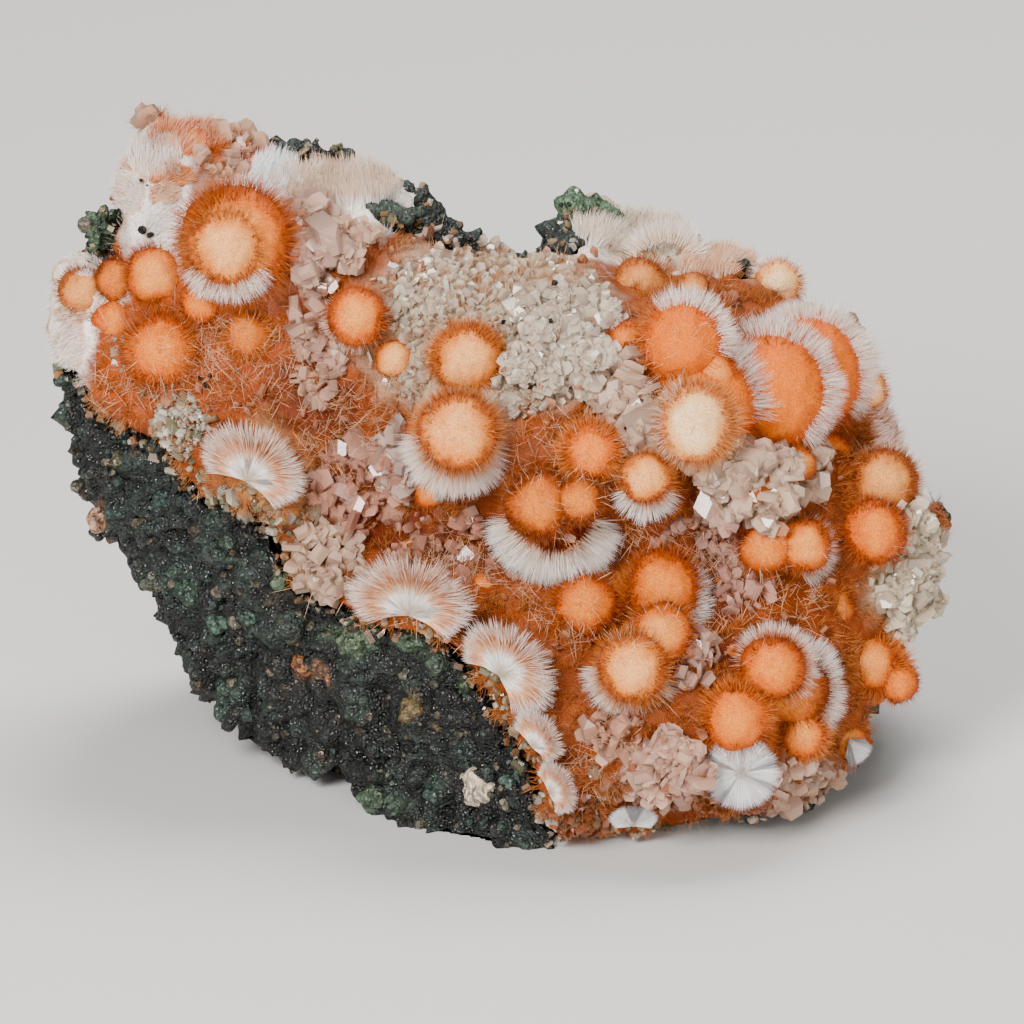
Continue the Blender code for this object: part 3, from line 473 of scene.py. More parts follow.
ball_places = []
for x, y, radius, kind, stands_out in BALLS:
    depth = surface_depth(crust_tree, x, y)
    ball_places.append((np.array((x, y, depth - radius + stands_out)), radius, kind))
for group, low, high in (("left", -60, 0), ("middle", 0, 24.5), ("right", 24.5, 60)):
    points, faces, tints, count = [], [], [], 0
    for centre, radius, kind in ball_places:
        if low <= centre[0] < high:
            units, triangles = globe(radius, BALL_GRAIN)
            spots = centre + units * radius
            swell = 0.08 * radius * lumps(spots, 0.7 * radius, 7.0) + 0.2 * lumps(spots, 1.2, 5.0)
            swell += 0.08 * lumps(spots, 0.5)
            points.append(spots + units * swell[:, None])
            faces.append(triangles + count)
            tints.append(ball_tint(kind, units[:, 2], spots))
            count += len(spots)
    balls = mesh_piece("balls_" + group, to_world(np.vstack(points)), np.vstack(faces), np.vstack(tints))
    balls.data.materials.append(packed_fibres)
    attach(balls, "root")
    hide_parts("thomsonite_crust")

# Needle collars
# Round most balls stands a collar of straight glassy needles, each ending in its own sharp tip. They are
# orange at the foot and white at the tip, and they radiate from a centre that lies deeper than the ball.
LOOKS = {  # colours at the foot and the tip of a needle
    "white": ("#ECAC74", "#FFF8F0"), "snow": ("#F8DEC4", "#FFF8F0"), "orange": ("#A84006", "#EE8E3C"),
    "grey": ("#F0DCCC", "#FFF8F0"), "dark": ("#B8A090", "#FFF8F0"), "lilac": ("#ECD4C6", "#FFF4EC"),
    "rust": ("#5A1C04", "#C45210"),
}
COLLARS = (  # x, y, depth of the centre, inner and outer radius, arc middle and half, polar, number, look
    (-31.9, 28.2, 10.2, 5.4, 7.4, -90, 80, 56, 1360, "white"),
    (-31.9, 28.2, 10.2, 5.6, 7.2, 90, 110, 60, 720, "orange"),
    (-17.4, 19.4, 6.6, 3, 5, 215, 75, 56, 800, "white"),
    (-17.4, 19.4, 6.6, 3, 4.6, 40, 100, 50, 400, "orange"),
    (-4.2, 14.4, 4.2, 3.6, 5.4, 60, 160, 55, 800, "orange"),
    (-5.2, 5.2, 10.4, 4.6, 7.9, -95, 88, 56, 2400, "white"),
    (-5.2, 5.2, 10.4, 4.4, 6.3, -90, 180, 30, 1200, "rust"),
    (-5.2, 5.2, 10.4, 4.4, 6.6, 90, 100, 40, 720, "orange"),
    (6.4, -4, 10.7, 5.4, 9.2, -92, 84, 60, 3360, "snow"),
    (6.4, -4, 10.7, 4.6, 6.6, -90, 180, 22, 2880, "rust"),
    (6.4, -4, 10.7, 4.6, 7, 90, 110, 40, 960, "orange"),
    (17.2, -0.4, 6.7, 2.8, 5.2, -90, 75, 56, 336, "grey"),
    (17.2, -0.4, 6.7, 2.7, 4.4, 90, 110, 45, 304, "orange"),
    (23, 6.7, 4.7, 4.2, 6, 0, 100, 50, 480, "orange"), (23, 6.7, 4.7, 4.2, 6, 180, 80, 56, 400, "white"),
    (21.7, 16.4, 5.2, 4.6, 7.2, 55, 75, 56, 1200, "grey"),
    (21.7, 16.4, 5.2, 4.6, 6.4, 200, 90, 55, 480, "orange"),
    (24, 9, 12.5, 7, 10.2, 45, 62, 44, 2400, "dark"), (32, 10.8, 9.2, 7.1, 9.5, 30, 88, 56, 3360, "grey"),
    (36.6, 12.8, 8.8, 6.9, 9.2, 45, 88, 56, 4800, "snow"),
    (34.4, -8.4, 7.9, 3.6, 6.6, -5, 80, 56, 1520, "lilac"),
    (34.4, -8.4, 7.9, 3.4, 5.6, 180, 100, 45, 560, "orange"),
    (45.2, -3, 9, 4.6, 7.6, -90, 62, 56, 1360, "white"), (45.2, -3, 9, 4.8, 7.6, 95, 62, 56, 1360, "white"),
    (45.2, -3, 9, 4.2, 6.4, 180, 60, 40, 720, "orange"),
    (10, -15, 7.1, 3.4, 6.4, 180, 170, 30, 1520, "orange"),
    (17.8, -16.2, 11.4, 5.6, 8.8, -5, 70, 56, 1680, "grey"),
    (17.8, -16.2, 11.4, 5, 7.6, 110, 80, 40, 1200, "orange"),
    (15.6, -22.9, 8.5, 4, 6.8, -100, 90, 56, 1840, "white"),
    (32.4, -22.4, 8, 3.6, 6, 60, 140, 56, 1520, "white"),
    (34.2, -25.2, 8.6, 5, 7.6, -10, 85, 56, 1760, "grey"),
    (45.4, -22.6, 4.8, 3, 5.2, 0, 170, 45, 720, "orange"),
    (28, -28.4, 4.1, 3.6, 5.4, 80, 120, 50, 720, "orange"),
    (19.8, 25.4, 6, 4.5, 6.8, 80, 80, 56, 720, "snow"),
    (-41, 15.6, 4, 3.5, 5.2, -90, 160, 45, 720, "orange"),
    (-30.6, 17.4, 2.8, 2.4, 4.2, -90, 170, 45, 480, "orange"),
    (36.1, -30.5, 2.8, 2.4, 4.2, 0, 170, 45, 400, "orange"),
    (33.4, 23.8, 2.9, 2.4, 4, 60, 110, 56, 400, "snow"), (10.6, 3.4, 3.5, 3, 5, 90, 170, 35, 800, "orange"),
    (-18, 3.6, 3, 1.2, 4.6, -90, 50, 60, 336, "grey"),
    (-32.9, 27.8, 4.6, 4.6, 7.2, -90, 62, 60, 960, "snow"),
    (32.4, -15.4, 4, 1.4, 3.8, 90, 60, 60, 336, "grey"),
    (-20.4, 18, 4, 2.4, 4.8, -100, 50, 60, 400, "snow"),
)
COLLAR_WIDTH = 0.066  # mm, half the width of a needle, drawn a little thicker than real so that it shows
BUNDLE = math.radians(5.0)  # needles stand together in bundles, each of its own length
BUNDLED = 0.55  # how far a needle is drawn to the middle of its bundle
FLATTEST = 98  # degrees from the view; a collar's needles lean out from its polar angle to this
LEFT_END = 18  # x, where the collars of the left piece end
chance = np.random.default_rng(20)


def unit(vectors):
    """Vectors made one long."""
    return vectors / np.maximum(np.linalg.norm(vectors, axis=-1, keepdims=True), 1e-9)


def across(directions):
    """Two directions square to each given one and to each other."""
    helper = np.where(np.abs(directions[:, :1]) < 0.8, (1.0, 0, 0), (0, 1.0, 0))
    first = unit(np.cross(directions, helper))
    return first, np.cross(directions, first)


def above_floor(points):
    """World metres of face points, with none lower than the floor that the specimen stands on."""
    placed = to_world(points)
    placed[:, 2] = np.maximum(placed[:, 2], 0)
    return placed


def stacked(rows):
    """Rows of arrays joined to one array for each column."""
    return [np.vstack(column) for column in zip(*rows)]


def plain_mineral(name, **values):
    """A smooth mineral in the piece's own tint."""
    made, shader = new_material(name, **values)
    fill(made, shader, {"Base Color": add_node(made, "Attribute", {}, "Color", attribute_name="tint")})
    return made


# Glassy needles: smooth enough for a thin highlight along each of them.
needle_glass = plain_mineral("glassy_needles", Roughness=0.3, Specular_IOR_Level=0.3, IOR=1.52)


def needle_piece(name, rows, width, spread=(0.7, 1.3)):
    """Needles from rows of roots, tips and the colours of both, in face millimetres: three points round
    each root are joined to one at the tip and closed below. The spread is of the width, as shares of it."""
    roots, tips, root_tints, tip_tints = stacked(rows)
    widths = width * chance.uniform(*spread, len(roots))
    first, second = across(unit(tips - roots))
    turns = chance.uniform(0, math.tau, (len(roots), 1)) + np.arange(3) * math.tau / 3
    ring = (np.cos(turns)[..., None] * first[:, None] + np.sin(turns)[..., None] * second[:, None])
    foot = roots[:, None] + ring * widths.reshape(-1, 1, 1)
    points = np.concatenate([foot, tips[:, None]], axis=1).reshape(-1, 3)
    corners = np.array([(0, 1, 3), (1, 2, 3), (2, 0, 3), (0, 2, 1)])
    faces = (np.arange(len(roots))[:, None, None] * 4 + corners).reshape(-1, 3)
    tints = np.concatenate([np.repeat(root_tints[:, None], 3, axis=1), tip_tints[:, None]], axis=1)
    made = mesh_piece(name, above_floor(points), faces, np.clip(tints, 0, 1).reshape(-1, 4), smooth=False)
    made.data.materials.append(needle_glass)
    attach(made, "root")
    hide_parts("thomsonite_crust")


gathered = {"left": [], "right": []}
for x, y, deep, inner, outer, middle, half, polar, number, look in COLLARS:
    centre = np.array((x, y, surface_depth(crust_tree, x, y) - deep))
    turn = np.radians(middle + half * chance.uniform(-1, 1, number) * chance.uniform(0.75, 1.0, number))
    bundle = np.round(turn / BUNDLE)
    turn = turn * (1 - BUNDLED) + bundle * BUNDLE * BUNDLED
    longer = 1 + 0.06 * lumps(np.stack([bundle, bundle * 0 + y, bundle * 0], axis=1), 1.3, x)
    lean = np.radians(polar + (FLATTEST - polar) * chance.uniform(0, 1, number))
    out = np.stack([np.sin(lean) * np.cos(turn), np.sin(lean) * np.sin(turn), np.cos(lean)], axis=1)
    shift = chance.normal(0, 0.05, (number, 3))
    roots = centre + out * (inner * chance.uniform(0.86, 1.0, number))[:, None]
    tips = centre + unit(out + shift) * (outer * longer * chance.uniform(0.84, 1.03, number))[:, None]
    foot, end = (np.tile(linear(code), (number, 1)) for code in LOOKS[look])
    shade = chance.uniform(0.85, 1.1, (number, 1))
    gathered["left" if x < LEFT_END else "right"].append((roots, tips, foot * shade, end * shade))
for side, rows in gathered.items():
    needle_piece("collars_" + side, rows, COLLAR_WIDTH, (0.7, 1.25))

# Velvet and aureoles of the balls
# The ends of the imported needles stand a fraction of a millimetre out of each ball. Round its foot they
# grow longer and darker, an orange-brown aureole that softens the edge of the ball.
VELVET_PER_MM2, VELVET_LENGTH, VELVET_WIDTH = 7.0, 0.4, 0.042
AUREOLE_PER_MM2 = 52.0  # for each square millimetre of the radius squared
AUREOLE_REACH = 1.4  # of the radius
ROOTED = 0.12  # mm of each needle inside its ball
SMOOTH_KINDS = ("bright", "white")  # balls with shorter velvet and a thinner aureole
MOST_NEEDLES = 48000  # in one piece
gathered = []
for centre, radius, kind in ball_places:
    number = int(VELVET_PER_MM2 * math.tau * radius ** 2)
    fringe = int(AUREOLE_PER_MM2 * radius ** 2 * (0.4 if kind in SMOOTH_KINDS else 1))
    height = np.concatenate([chance.uniform(0, 1, number), chance.uniform(-0.2, 0.7, fringe)])
    turn = chance.uniform(0, math.tau, len(height))
    flat = np.sqrt(1 - height ** 2)
    out = np.stack([flat * np.cos(turn), flat * np.sin(turn), height], axis=1)
    roots = centre + out * (radius - ROOTED)
    reach = np.full(len(height), VELVET_LENGTH * (0.5 if kind in SMOOTH_KINDS else 1))
    reach[number:] = (AUREOLE_REACH - 1) * radius * chance.uniform(0.5, 1.2, fringe)
    along = unit(out + chance.normal(0, 0.2, (len(height), 3)))
    tips = roots + along * (reach * chance.uniform(0.6, 1.3, len(height)) + ROOTED)[:, None]
    # the velvet takes the ball's colour by height, with the same painted light at the front and painted shade
    # at the rim
    foot = ball_tint(kind, height, roots)
    end = foot * 0.85 + 0.15 * np.array(linear("#FFD098"))
    foot[number:], end[number:] = linear(TINTS[kind][3]), linear(TINTS[kind][1])
    gathered.append((roots, tips, foot, end * chance.uniform(0.85, 1.1, (len(height), 1))))
velvet = stacked(gathered)
order = np.argsort(velvet[0][:, 0])
for part, chosen in enumerate(np.array_split(order, math.ceil(len(order) / MOST_NEEDLES))):
    needle_piece(f"velvet_{part}", [[column[chosen] for column in velvet]], VELVET_WIDTH)

# Tufts of the crust
# Between the balls the crust is hairy: small tufts of fine needles fan out from it, orange in the hollows,
# and white, long and close together along the upper edge.
TUFTS, TUFT_NEEDLES, TUFT_WIDTH = 2300, 20, 0.045
TUFT_LENGTHS, TUFT_SPREAD = (0.8, 2.4), 0.3  # mm, of the needles and of their feet
BARE = 1.4  # mm from the basalt, where the crust is too thin for tufts
WHITE_ZONES = ((-41.6, 33.8, 5, 8.2), (-52, 19, 4, 7), (-17.3, 35, 16, 5.6), (19.8, 29.4, 11, 3.4),
               (49.3, 1.2, 3.4, 4.4))


def off_balls(spots, gap):
    """Which face points lie farther than a gap from every ball."""
    return np.all([np.linalg.norm(spots - centre, axis=1) > radius + gap
                   for centre, radius, kind in ball_places], axis=0)


def off_mounds(spots, share):
    """Which face points lie outside every mound, taken at a share of its reach."""
    return np.all([np.linalg.norm(spots - (x, y, depth), axis=1) > reach * share
                   for x, y, depth, reach, core in mound_balls], axis=0)


corner = skin_face[skin_quads]
crossed = np.cross(corner[:, 2] - corner[:, 0], corner[:, 3] - corner[:, 1])
area = np.linalg.norm(crossed, axis=1)
chosen = chance.choice(len(skin_quads), TUFTS * 3, p=area / area.sum())
spots = skin_face[skin_quads[chosen]].mean(axis=1)
outward = unit(crossed[chosen])
clear = np.array([rock_tree.find_nearest(Vector(spot))[3] > BARE * MM for spot in to_world(spots)])
clear &= off_balls(spots, 0.1) & off_mounds(spots, 0.98)
spots, outward = spots[clear][:TUFTS], outward[clear][:TUFTS]
white = np.zeros(len(spots), bool)
for x, y, width, height in WHITE_ZONES:
    white |= np.hypot((spots[:, 0] - x) / width, (spots[:, 1] - y) / height) < 1.1
number = len(spots) * TUFT_NEEDLES
base = np.repeat(spots, TUFT_NEEDLES, axis=0)
direction = np.repeat(outward, TUFT_NEEDLES, axis=0)
roots = base + chance.normal(0, TUFT_SPREAD, (number, 3)) - direction * 0.2
reach = chance.uniform(*TUFT_LENGTHS, number) * np.where(np.repeat(white, TUFT_NEEDLES), 0.7, 1.0)
tips = roots + unit(direction + chance.normal(0, 0.5, (number, 3))) * reach[:, None]
foot = ground_tint(base)
end = foot * 0.3 + 0.7 * np.array(linear("#FAA050"))
end = np.where(np.repeat(white, TUFT_NEEDLES)[:, None], linear("#FFFCF8"), end)
needle_piece("tufts_0", [(roots, tips, foot, end)], TUFT_WIDTH)

# Loose needles
# Single long straight needles lie criss-cross over the hairy hollows, clear at the tip.
LOOSE = (  # x, y, half width, half height, number
    (12, -14, 10, 7, 900), (-16, 6, 9, 7, 600), (-40, 14, 10, 7, 500), (16, -9, 16, 4, 600),
    (12, -34, 5, 4, 200), (30, -14, 8, 7, 400), (-4, -10, 10, 4, 400), (22, 14, 8, 8, 260),
    (-30, 14, 8, 6, 400), (8, 2, 9, 6, 300), (0, 0, 48, 34, 700),
)
LOOSE_WIDTH, LOOSE_LENGTHS = 0.05, (1.4, 4.2)
BESIDE = 1.03  # of a mound's reach, from where other things stand beside it


def spots_in(x, y, half_width, half_height, number):
    """Random places on the crust, evenly inside an ellipse of the face, and the outward directions there;
    rays that miss are dropped."""
    turn, out = chance.uniform(0, math.tau, number), np.sqrt(chance.uniform(0, 1, number))
    places = zip(x + half_width * out * np.cos(turn), y + half_height * out * np.sin(turn))
    hits = [cast(front_tree, *place) for place in places]
    points, normals = zip(*[hit for hit in hits if hit[0] is not None])
    return to_face(points), np.array(normals) @ FACE_AXES.T


gathered = []
for area in LOOSE:
    spots, outward = spots_in(*area)
    free = off_mounds(spots, BESIDE)
    spots, outward = spots[free], outward[free]
    direction = unit(outward + (0, 0, 0.3) + chance.normal(0, 0.75, spots.shape))
    reach = chance.uniform(*LOOSE_LENGTHS, (len(spots), 1))
    roots = spots - 0.4 * direction
    foot = zone_tint(spots, "#C86C20", (), 0.0)
    gathered.append((roots, roots + direction * reach, foot, np.tile(linear("#FCE4C4"), (len(spots), 1))))
needle_piece("loose_needles", gathered, LOOSE_WIDTH, (0.6, 1.3))

# Broken fans
# Balls that broke along with the rock show their inside: fibres that radiate from one point, grey in the
# middle, ringed with orange, and ending in a dense white fringe.
FANS = (  # x, y of the point the fibres start from, radius, turned left and down, arc middle and half, kind
    (-30.4, 0.1, 7.6, 15, 20, 60, 100, "fringed"), (-11, -15.8, 8.4, 10, 30, 78, 105, "fringed"),
    (-0.1, -23.1, 7.2, 20, 20, 40, 108, "fringed"), (4, -31.8, 4.8, 35, 10, 45, 80, "fringed"),
    (6, -37.2, 4.2, 35, 10, 25, 85, "fringed"), (-47.3, 7.9, 4.6, 20, 20, 38, 88, "fringed"),
    (28.5, -34.8, 4.7, 0, 15, 90, 180, "grey"), (41.4, -31, 3.4, -30, 10, -50, 50, "grey"),
    (15.7, -41, 3.4, 0, 40, 90, 95, "grey"),
)
FAN_FIBRES, FAN_WIDTH = 2400, 0.085
FAN_STANDS = 0.7  # mm, how far the point that the fibres start from stands out of the solid
WIDE_FAN = 6.5  # mm, radius from which the fibres have their full width
FAN_RINGS = {  # share of the fibres, start and end of a fibre, how far it leans out, colours
    "fringed": ((0.12, 0.0, 0.3, 0.1, "#B8A090", "#CDBDB0"), (0.24, 0.12, 0.62, 0.1, "#DCD2C8", "#FFFFFF"),
                (0.26, 0.42, 0.8, 0.3, "#F6D8BC", "#DA7A20"), (0.38, 0.62, 1.06, 0.45, "#EEA058", "#FFFCF6")),
    "grey": ((0.2, 0.0, 0.36, 0.05, "#A8A096", "#C4BCB2"), (0.4, 0.22, 0.96, 0.06, "#D8D4CE", "#FFFFFF"),
             (0.4, 0.3, 1.02, 0.08, "#B4B0AA", "#FFFFFF")),
}
gathered = []
for x, y, radius, left, down, middle, half, kind in FANS:
    depth = surface_depth(whole_tree, x, y)
    left, down = math.radians(left), math.radians(down)
    facing = np.array((-math.sin(left) * math.cos(down), -math.sin(down), math.cos(left) * math.cos(down)))
    right = unit(np.cross((0, 1.0, 0), facing))
    up = np.cross(facing, right)
    shares, starts, ends, leans, feet, heads = zip(*FAN_RINGS[kind])
    ring = chance.choice(len(shares), FAN_FIBRES, p=shares)
    aside = chance.uniform(-1, 1, FAN_FIBRES)
    turn = np.radians(middle + half * aside)
    fade = 1 - 0.35 * ramp((np.abs(aside) - 0.6) / 0.4) * (half < 180)  # shorter at the ends of the arc
    start = np.array(starts)[ring] * chance.uniform(0.7, 1.2, FAN_FIBRES)
    end = np.array(ends)[ring] * chance.uniform(0.9, 1.05, FAN_FIBRES)
    lean = np.array(leans)[ring] * chance.uniform(0.0, 1.0, FAN_FIBRES)
    out = np.cos(turn)[:, None] * right + np.sin(turn)[:, None] * up
    centre = np.array((x, y, depth)) + facing * FAN_STANDS
    roots = centre + out * (start * fade * radius)[:, None]
    tips = centre + unit(out + facing * lean[:, None]) * (end * fade * radius)[:, None]
    foot, head = (colours(codes)[ring] for codes in (feet, heads))
    veins = lumps(np.stack([turn, turn * 0 + x, turn * 0], axis=1), 0.35, y)  # darker wedges
    sector = 1 - 0.6 * ramp(3 * veins - 0.3) * ((ring == 1) | (ring == 2) & (kind == "grey"))
    foot[:, :3] *= sector[:, None]
    head[:, :3] *= sector[:, None]
    streaks = chance.uniform(0.72, 1.08, (FAN_FIBRES, 1))
    slim = np.full((FAN_FIBRES, 1), min(1.0, radius / WIDE_FAN))
    gathered.append((roots, tips, foot * streaks, head * streaks, slim))
*fibres, slim = stacked(gathered)
needle_piece("broken_fans", [fibres], FAN_WIDTH * slim[:, 0], (0.6, 1.3))


def clear_of_fans(x, y):
    """Whether a place on the face lies in no fan: outside its radius or outside its arc."""
    for fan_x, fan_y, radius, left, down, middle, half, kind in FANS:
        turn = math.degrees(math.atan2(y - fan_y, x - fan_x)) - middle
        if math.hypot(x - fan_x, y - fan_y) < radius and abs((turn + 180) % 360 - 180) < half:
            return False
    return True


# Standing fibres
# Along the upper edge the crust is broken across: its fibres stand side by side, white and silky at the
# foot and brownish orange towards the top, and white masses of them radiate near the left end.
BANDS = (  # x, y, half width, half height, number, length, direction on the face, colours of foot and tip
    (-20, 35.4, 8, 2.6, 3600, 2.2, 100, "#FFFFFF", "#E8C4A0"),
    (-27.6, 36.6, 3, 2.4, 1200, 2.2, 60, "#FFFFFF", "#FFFFFF"),
    (-41.8, 38.8, 3.2, 2.8, 1100, 1.4, 70, "#F4C8A4", "#FFFFFF"),
    (-44.8, 34.6, 1.8, 2.6, 600, 1, 150, "#F0C8A8", "#FFFFFF"),
    (-40.4, 30.6, 2.4, 3, 700, 0.7, 20, "#F6E4D4", "#FFFFFF"),
    (-50.8, 25.8, 3.2, 1.6, 500, 0.7, 140, "#F4DCC8", "#FFFFFF"),
    (-52.4, 16.6, 2, 3.8, 800, 0.9, 200, "#F0C8A8", "#FFFFFF"),
    (-38, 41.4, 5, 2, 1400, 1.6, 60, "#E87A34", "#F4C8A4"),
    (16, 30.4, 8, 2.2, 2600, 1.8, 70, "#FFF8F0", "#F4E2CE"),
    (26, 26.6, 4.6, 1.8, 1200, 1.6, 50, "#FFF0E2", "#F0B480"),
    (46.4, 7.4, 2.2, 4.6, 900, 1.6, 20, "#F0A468", "#FFFFFF"),
    (-39.6, 36.6, 2.6, 1.4, 600, 1.3, 30, "#D46C20", "#F6C08A"),
    (-40.6, 34.4, 1.6, 1.4, 350, 1.2, 20, "#D47A3A", "#F8DCC0"),
    (-45.6, 36.4, 1.2, 2.4, 300, 0.9, 150, "#C88A60", "#F6E0CC"),
    (-51.6, 20, 2.4, 1.2, 300, 0.8, 190, "#C88450", "#F4D6B8"),
)
STANDING_WIDTH = 0.075
gathered = []
for *area, length, way, foot_colour, tip_colour in BANDS:
    spots, outward = spots_in(*area)
    way = np.array((math.cos(math.radians(way)), math.sin(math.radians(way)), 0.5))
    swirl = np.stack([lumps(spots, 2.2, 1.0), lumps(spots, 2.2, 4.0), lumps(spots, 2.2, 8.0)], axis=1)
    direction = unit(outward * 0.6 + way + 0.7 * swirl + chance.normal(0, 0.16, spots.shape))
    reach = length * chance.uniform(0.6, 1.2, (len(spots), 1))
    foot, head = (np.tile(linear(code), (len(spots), 1)) for code in (foot_colour, tip_colour))
    gathered.append((spots - 0.5 * direction, spots + direction * reach, foot, head))
needle_piece("standing_fibres", gathered, STANDING_WIDTH)

# Pale crystals
# Small glassy crystals grown over the crust and in five clusters on it: blocky, clear and pinkish or
# greyish, each with a chisel end. Light passes into them.
BLOCKY = 0.7  # width of a crystal for its length
SHOULDER, RIDGE = 0.72, 0.62  # where the chisel starts along a crystal, and its ridge across it
SHAPE = np.array([(x, y, z) for z in (0, SHOULDER) for x, y in ((-1, -1), (1, -1), (1, 1), (-1, 1))]
                 + [(-RIDGE, 0, 1), (RIDGE, 0, 1)], float)
SHAPE_FACES = np.array([
    (0, 2, 1), (0, 3, 2), (0, 1, 5), (0, 5, 4), (1, 2, 6), (1, 6, 5), (2, 3, 7), (2, 7, 6),
    (3, 0, 4), (3, 4, 7), (4, 5, 9), (4, 9, 8), (6, 7, 8), (6, 8, 9), (5, 6, 9), (7, 4, 8)])
FIELDS = (  # x, y, half width, half height, number, size, colour
    (-1.4, 18, 15.6, 10.8, 1100, 1.2, "#FAE4CC"), (-10.1, 2.4, 5.6, 5.6, 160, 1.6, "#F4D4C0"),
    (-11.4, 2.4, 3, 4.6, 36, 2.5, "#F2D2C2"), (-24.1, 29.4, 4, 5, 70, 2.6, "#F4CCB6"),
    (-22, 17, 3.6, 8, 110, 2, "#F0C0A6"), (-32.5, 39.4, 3.9, 3, 60, 1.8, "#F4C6A8"),
    (31.5, 3.4, 8, 6.8, 260, 2.2, "#F6D2B6"), (30.6, -1, 7, 4, 90, 2.8, "#F6D0B4"),
    (48.7, -10.4, 4.6, 7.6, 260, 1.9, "#FAE4C8"), (19.6, -35.2, 5, 4, 130, 2, "#F4C4AA"),
    (36.1, -37.3, 5.4, 4, 150, 1.7, "#F4CAAE"), (13.5, -30.6, 3.6, 2.8, 60, 1.6, "#EAB294"),
    (-38.6, 7, 3, 3.6, 170, 0.8, "#F0E8D4"), (-21, -9.6, 4.4, 5.2, 130, 1.7, "#F2CCB0"),
    (26, -10, 9, 6, 160, 1.8, "#E8B09A"), (0, -8, 14, 5, 160, 1.5, "#D89A80"),
    (22, -21, 4, 4, 60, 1.8, "#EABCA6"), (-17, -1, 6, 6, 120, 2, "#E8AC92"),
    (14.6, 9, 3.4, 6, 120, 2, "#F6D0B4"), (3, 0, 46, 34, 700, 1, "#D8946E"),
    (24, -36.6, 12, 3.6, 200, 1.3, "#C47A54"), (10, -40, 6, 2.6, 90, 1.3, "#B86A44"),
    (-42.9, 43.6, 0.6, 0.6, 4, 2.6, "#F0C0A0"), (31.3, -1.3, 0.5, 0.5, 3, 2.8, "#E0702C"),
)

# Clear pale crystal: light passes into it, and its small flat faces glint. Not all of the light does,
# because hundreds of small crystals over each other would go dark.
clear_crystal = plain_mineral("clear_pale_crystal", Roughness=0.08, IOR=1.5, Transmission_Weight=0.55)


def crystal_piece(name, roots, directions, lengths, widths, tints, bed=None):
    """Crystals from face points: one chisel-ended block each, turned about its length, and their bed."""
    first, second = across(unit(directions))
    turns = chance.uniform(0, math.tau, (len(roots), 1))
    side = np.cos(turns) * first + np.sin(turns) * second
    depth = np.cross(unit(directions), side)
    flatness = chance.uniform(0.2, 0.8, (len(roots), 1))
    half = np.asarray(widths).reshape(-1, 1) / 2
    points = (roots[:, None] + SHAPE[None, :, :1] * (side * half)[:, None]
              + SHAPE[None, :, 1:2] * (depth * half * flatness)[:, None]
              + SHAPE[None, :, 2:] * (unit(directions) * np.asarray(lengths).reshape(-1, 1))[:, None])
    faces = (np.arange(len(roots))[:, None, None] * len(SHAPE) + SHAPE_FACES).reshape(-1, 3)
    lighter = 0.66 + 0.5 * np.tile(SHAPE[:, 2], len(roots))[:, None]  # dark at the foot, bright at the tip
    points, tints = points.reshape(-1, 3), np.repeat(tints, len(SHAPE), axis=0) * lighter
    if bed is not None:
        faces = np.vstack([faces, bed[1] + len(points)])
        points, tints = np.vstack([points, bed[0]]), np.vstack([tints, bed[2]])
    made = mesh_piece(name, above_floor(points), faces, np.clip(tints, 0, 1), smooth=False)
    made.data.materials.append(clear_crystal)
    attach(made, "root")
    return made


gathered = []
for *area, size, colour in FIELDS:
    spots, outward = spots_in(*area)
    free = off_balls(spots, 0.45) & off_mounds(spots, BESIDE)
    for fan_x, fan_y, radius, *rest in FANS:
        covered = radius * (0.95 if rest[-1] == "grey" else 0.6)
        free &= np.hypot(spots[:, 0] - fan_x, spots[:, 1] - fan_y) > covered
    spots, outward = spots[free], outward[free]
    number = len(spots)
    long = size * chance.lognormal(0.0, 0.3, number)
    directions = unit(outward + (0, 0, 0.4) + chance.normal(0, 0.6, (number, 3)))
    tint = np.tile(linear(colour), (number, 1)) * chance.uniform(0.7, 1.12, (number, 1))
    gathered.append((spots - directions * (0.35 * long)[:, None], directions,
                     np.column_stack([long, BLOCKY * long]), tint))
roots, directions, sizes, tints = stacked(gathered)
scattered = crystal_piece("scattered_crystals", roots, directions, sizes[:, 0], sizes[:, 1], tints)
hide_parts("thomsonite_crust")

CLUSTER_LOOKS = {  # colour, how many small crystals grow on the large ones, and their length
    "pale_crystals_crest": ("#FAE4CC", 700, 1.4), "pale_crystals_right": ("#F6D2B6", 440, 1.9),
    "pale_crystals_lower_right": ("#FAE4C8", 340, 1.5), "pale_crystals_upper_left": ("#F4CAAE", 240, 1.7),
    "pale_crystals_lower_edge": ("#F4C4AA", 300, 1.5),
}
for node, (colour, number, size) in CLUSTER_LOOKS.items():
    bed_mesh = merged_copy(node)
    bed_points = to_face([vertex.co for vertex in bed_mesh.vertices])
    bed_faces = np.array([face.vertices for face in bed_mesh.polygons])
    corners = bed_points[bed_faces]
    crossed = np.cross(corners[:, 1] - corners[:, 0], corners[:, 2] - corners[:, 0])
    spread = np.linalg.norm(crossed, axis=1) * (crossed[:, 2] > 0)
    picked = chance.choice(len(bed_faces), number, p=spread / spread.sum())
    share = chance.dirichlet((1, 1, 1), number)
    spots = (corners[picked] * share[..., None]).sum(axis=1)
    directions = unit(unit(crossed[picked]) + chance.normal(0, 0.45, (number, 3)))
    long = size * chance.uniform(0.6, 1.5, number)
    tint = np.tile(linear(colour), (number, 1)) * chance.uniform(0.8, 1.1, (number, 1))
    bed = (bed_points, bed_faces, np.tile(linear(colour), (len(bed_points), 1)))
    grown = crystal_piece(node + "_grown", spots - directions * (0.5 * long)[:, None], directions, long,
                          long * BLOCKY, tint, bed)
    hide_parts(node)

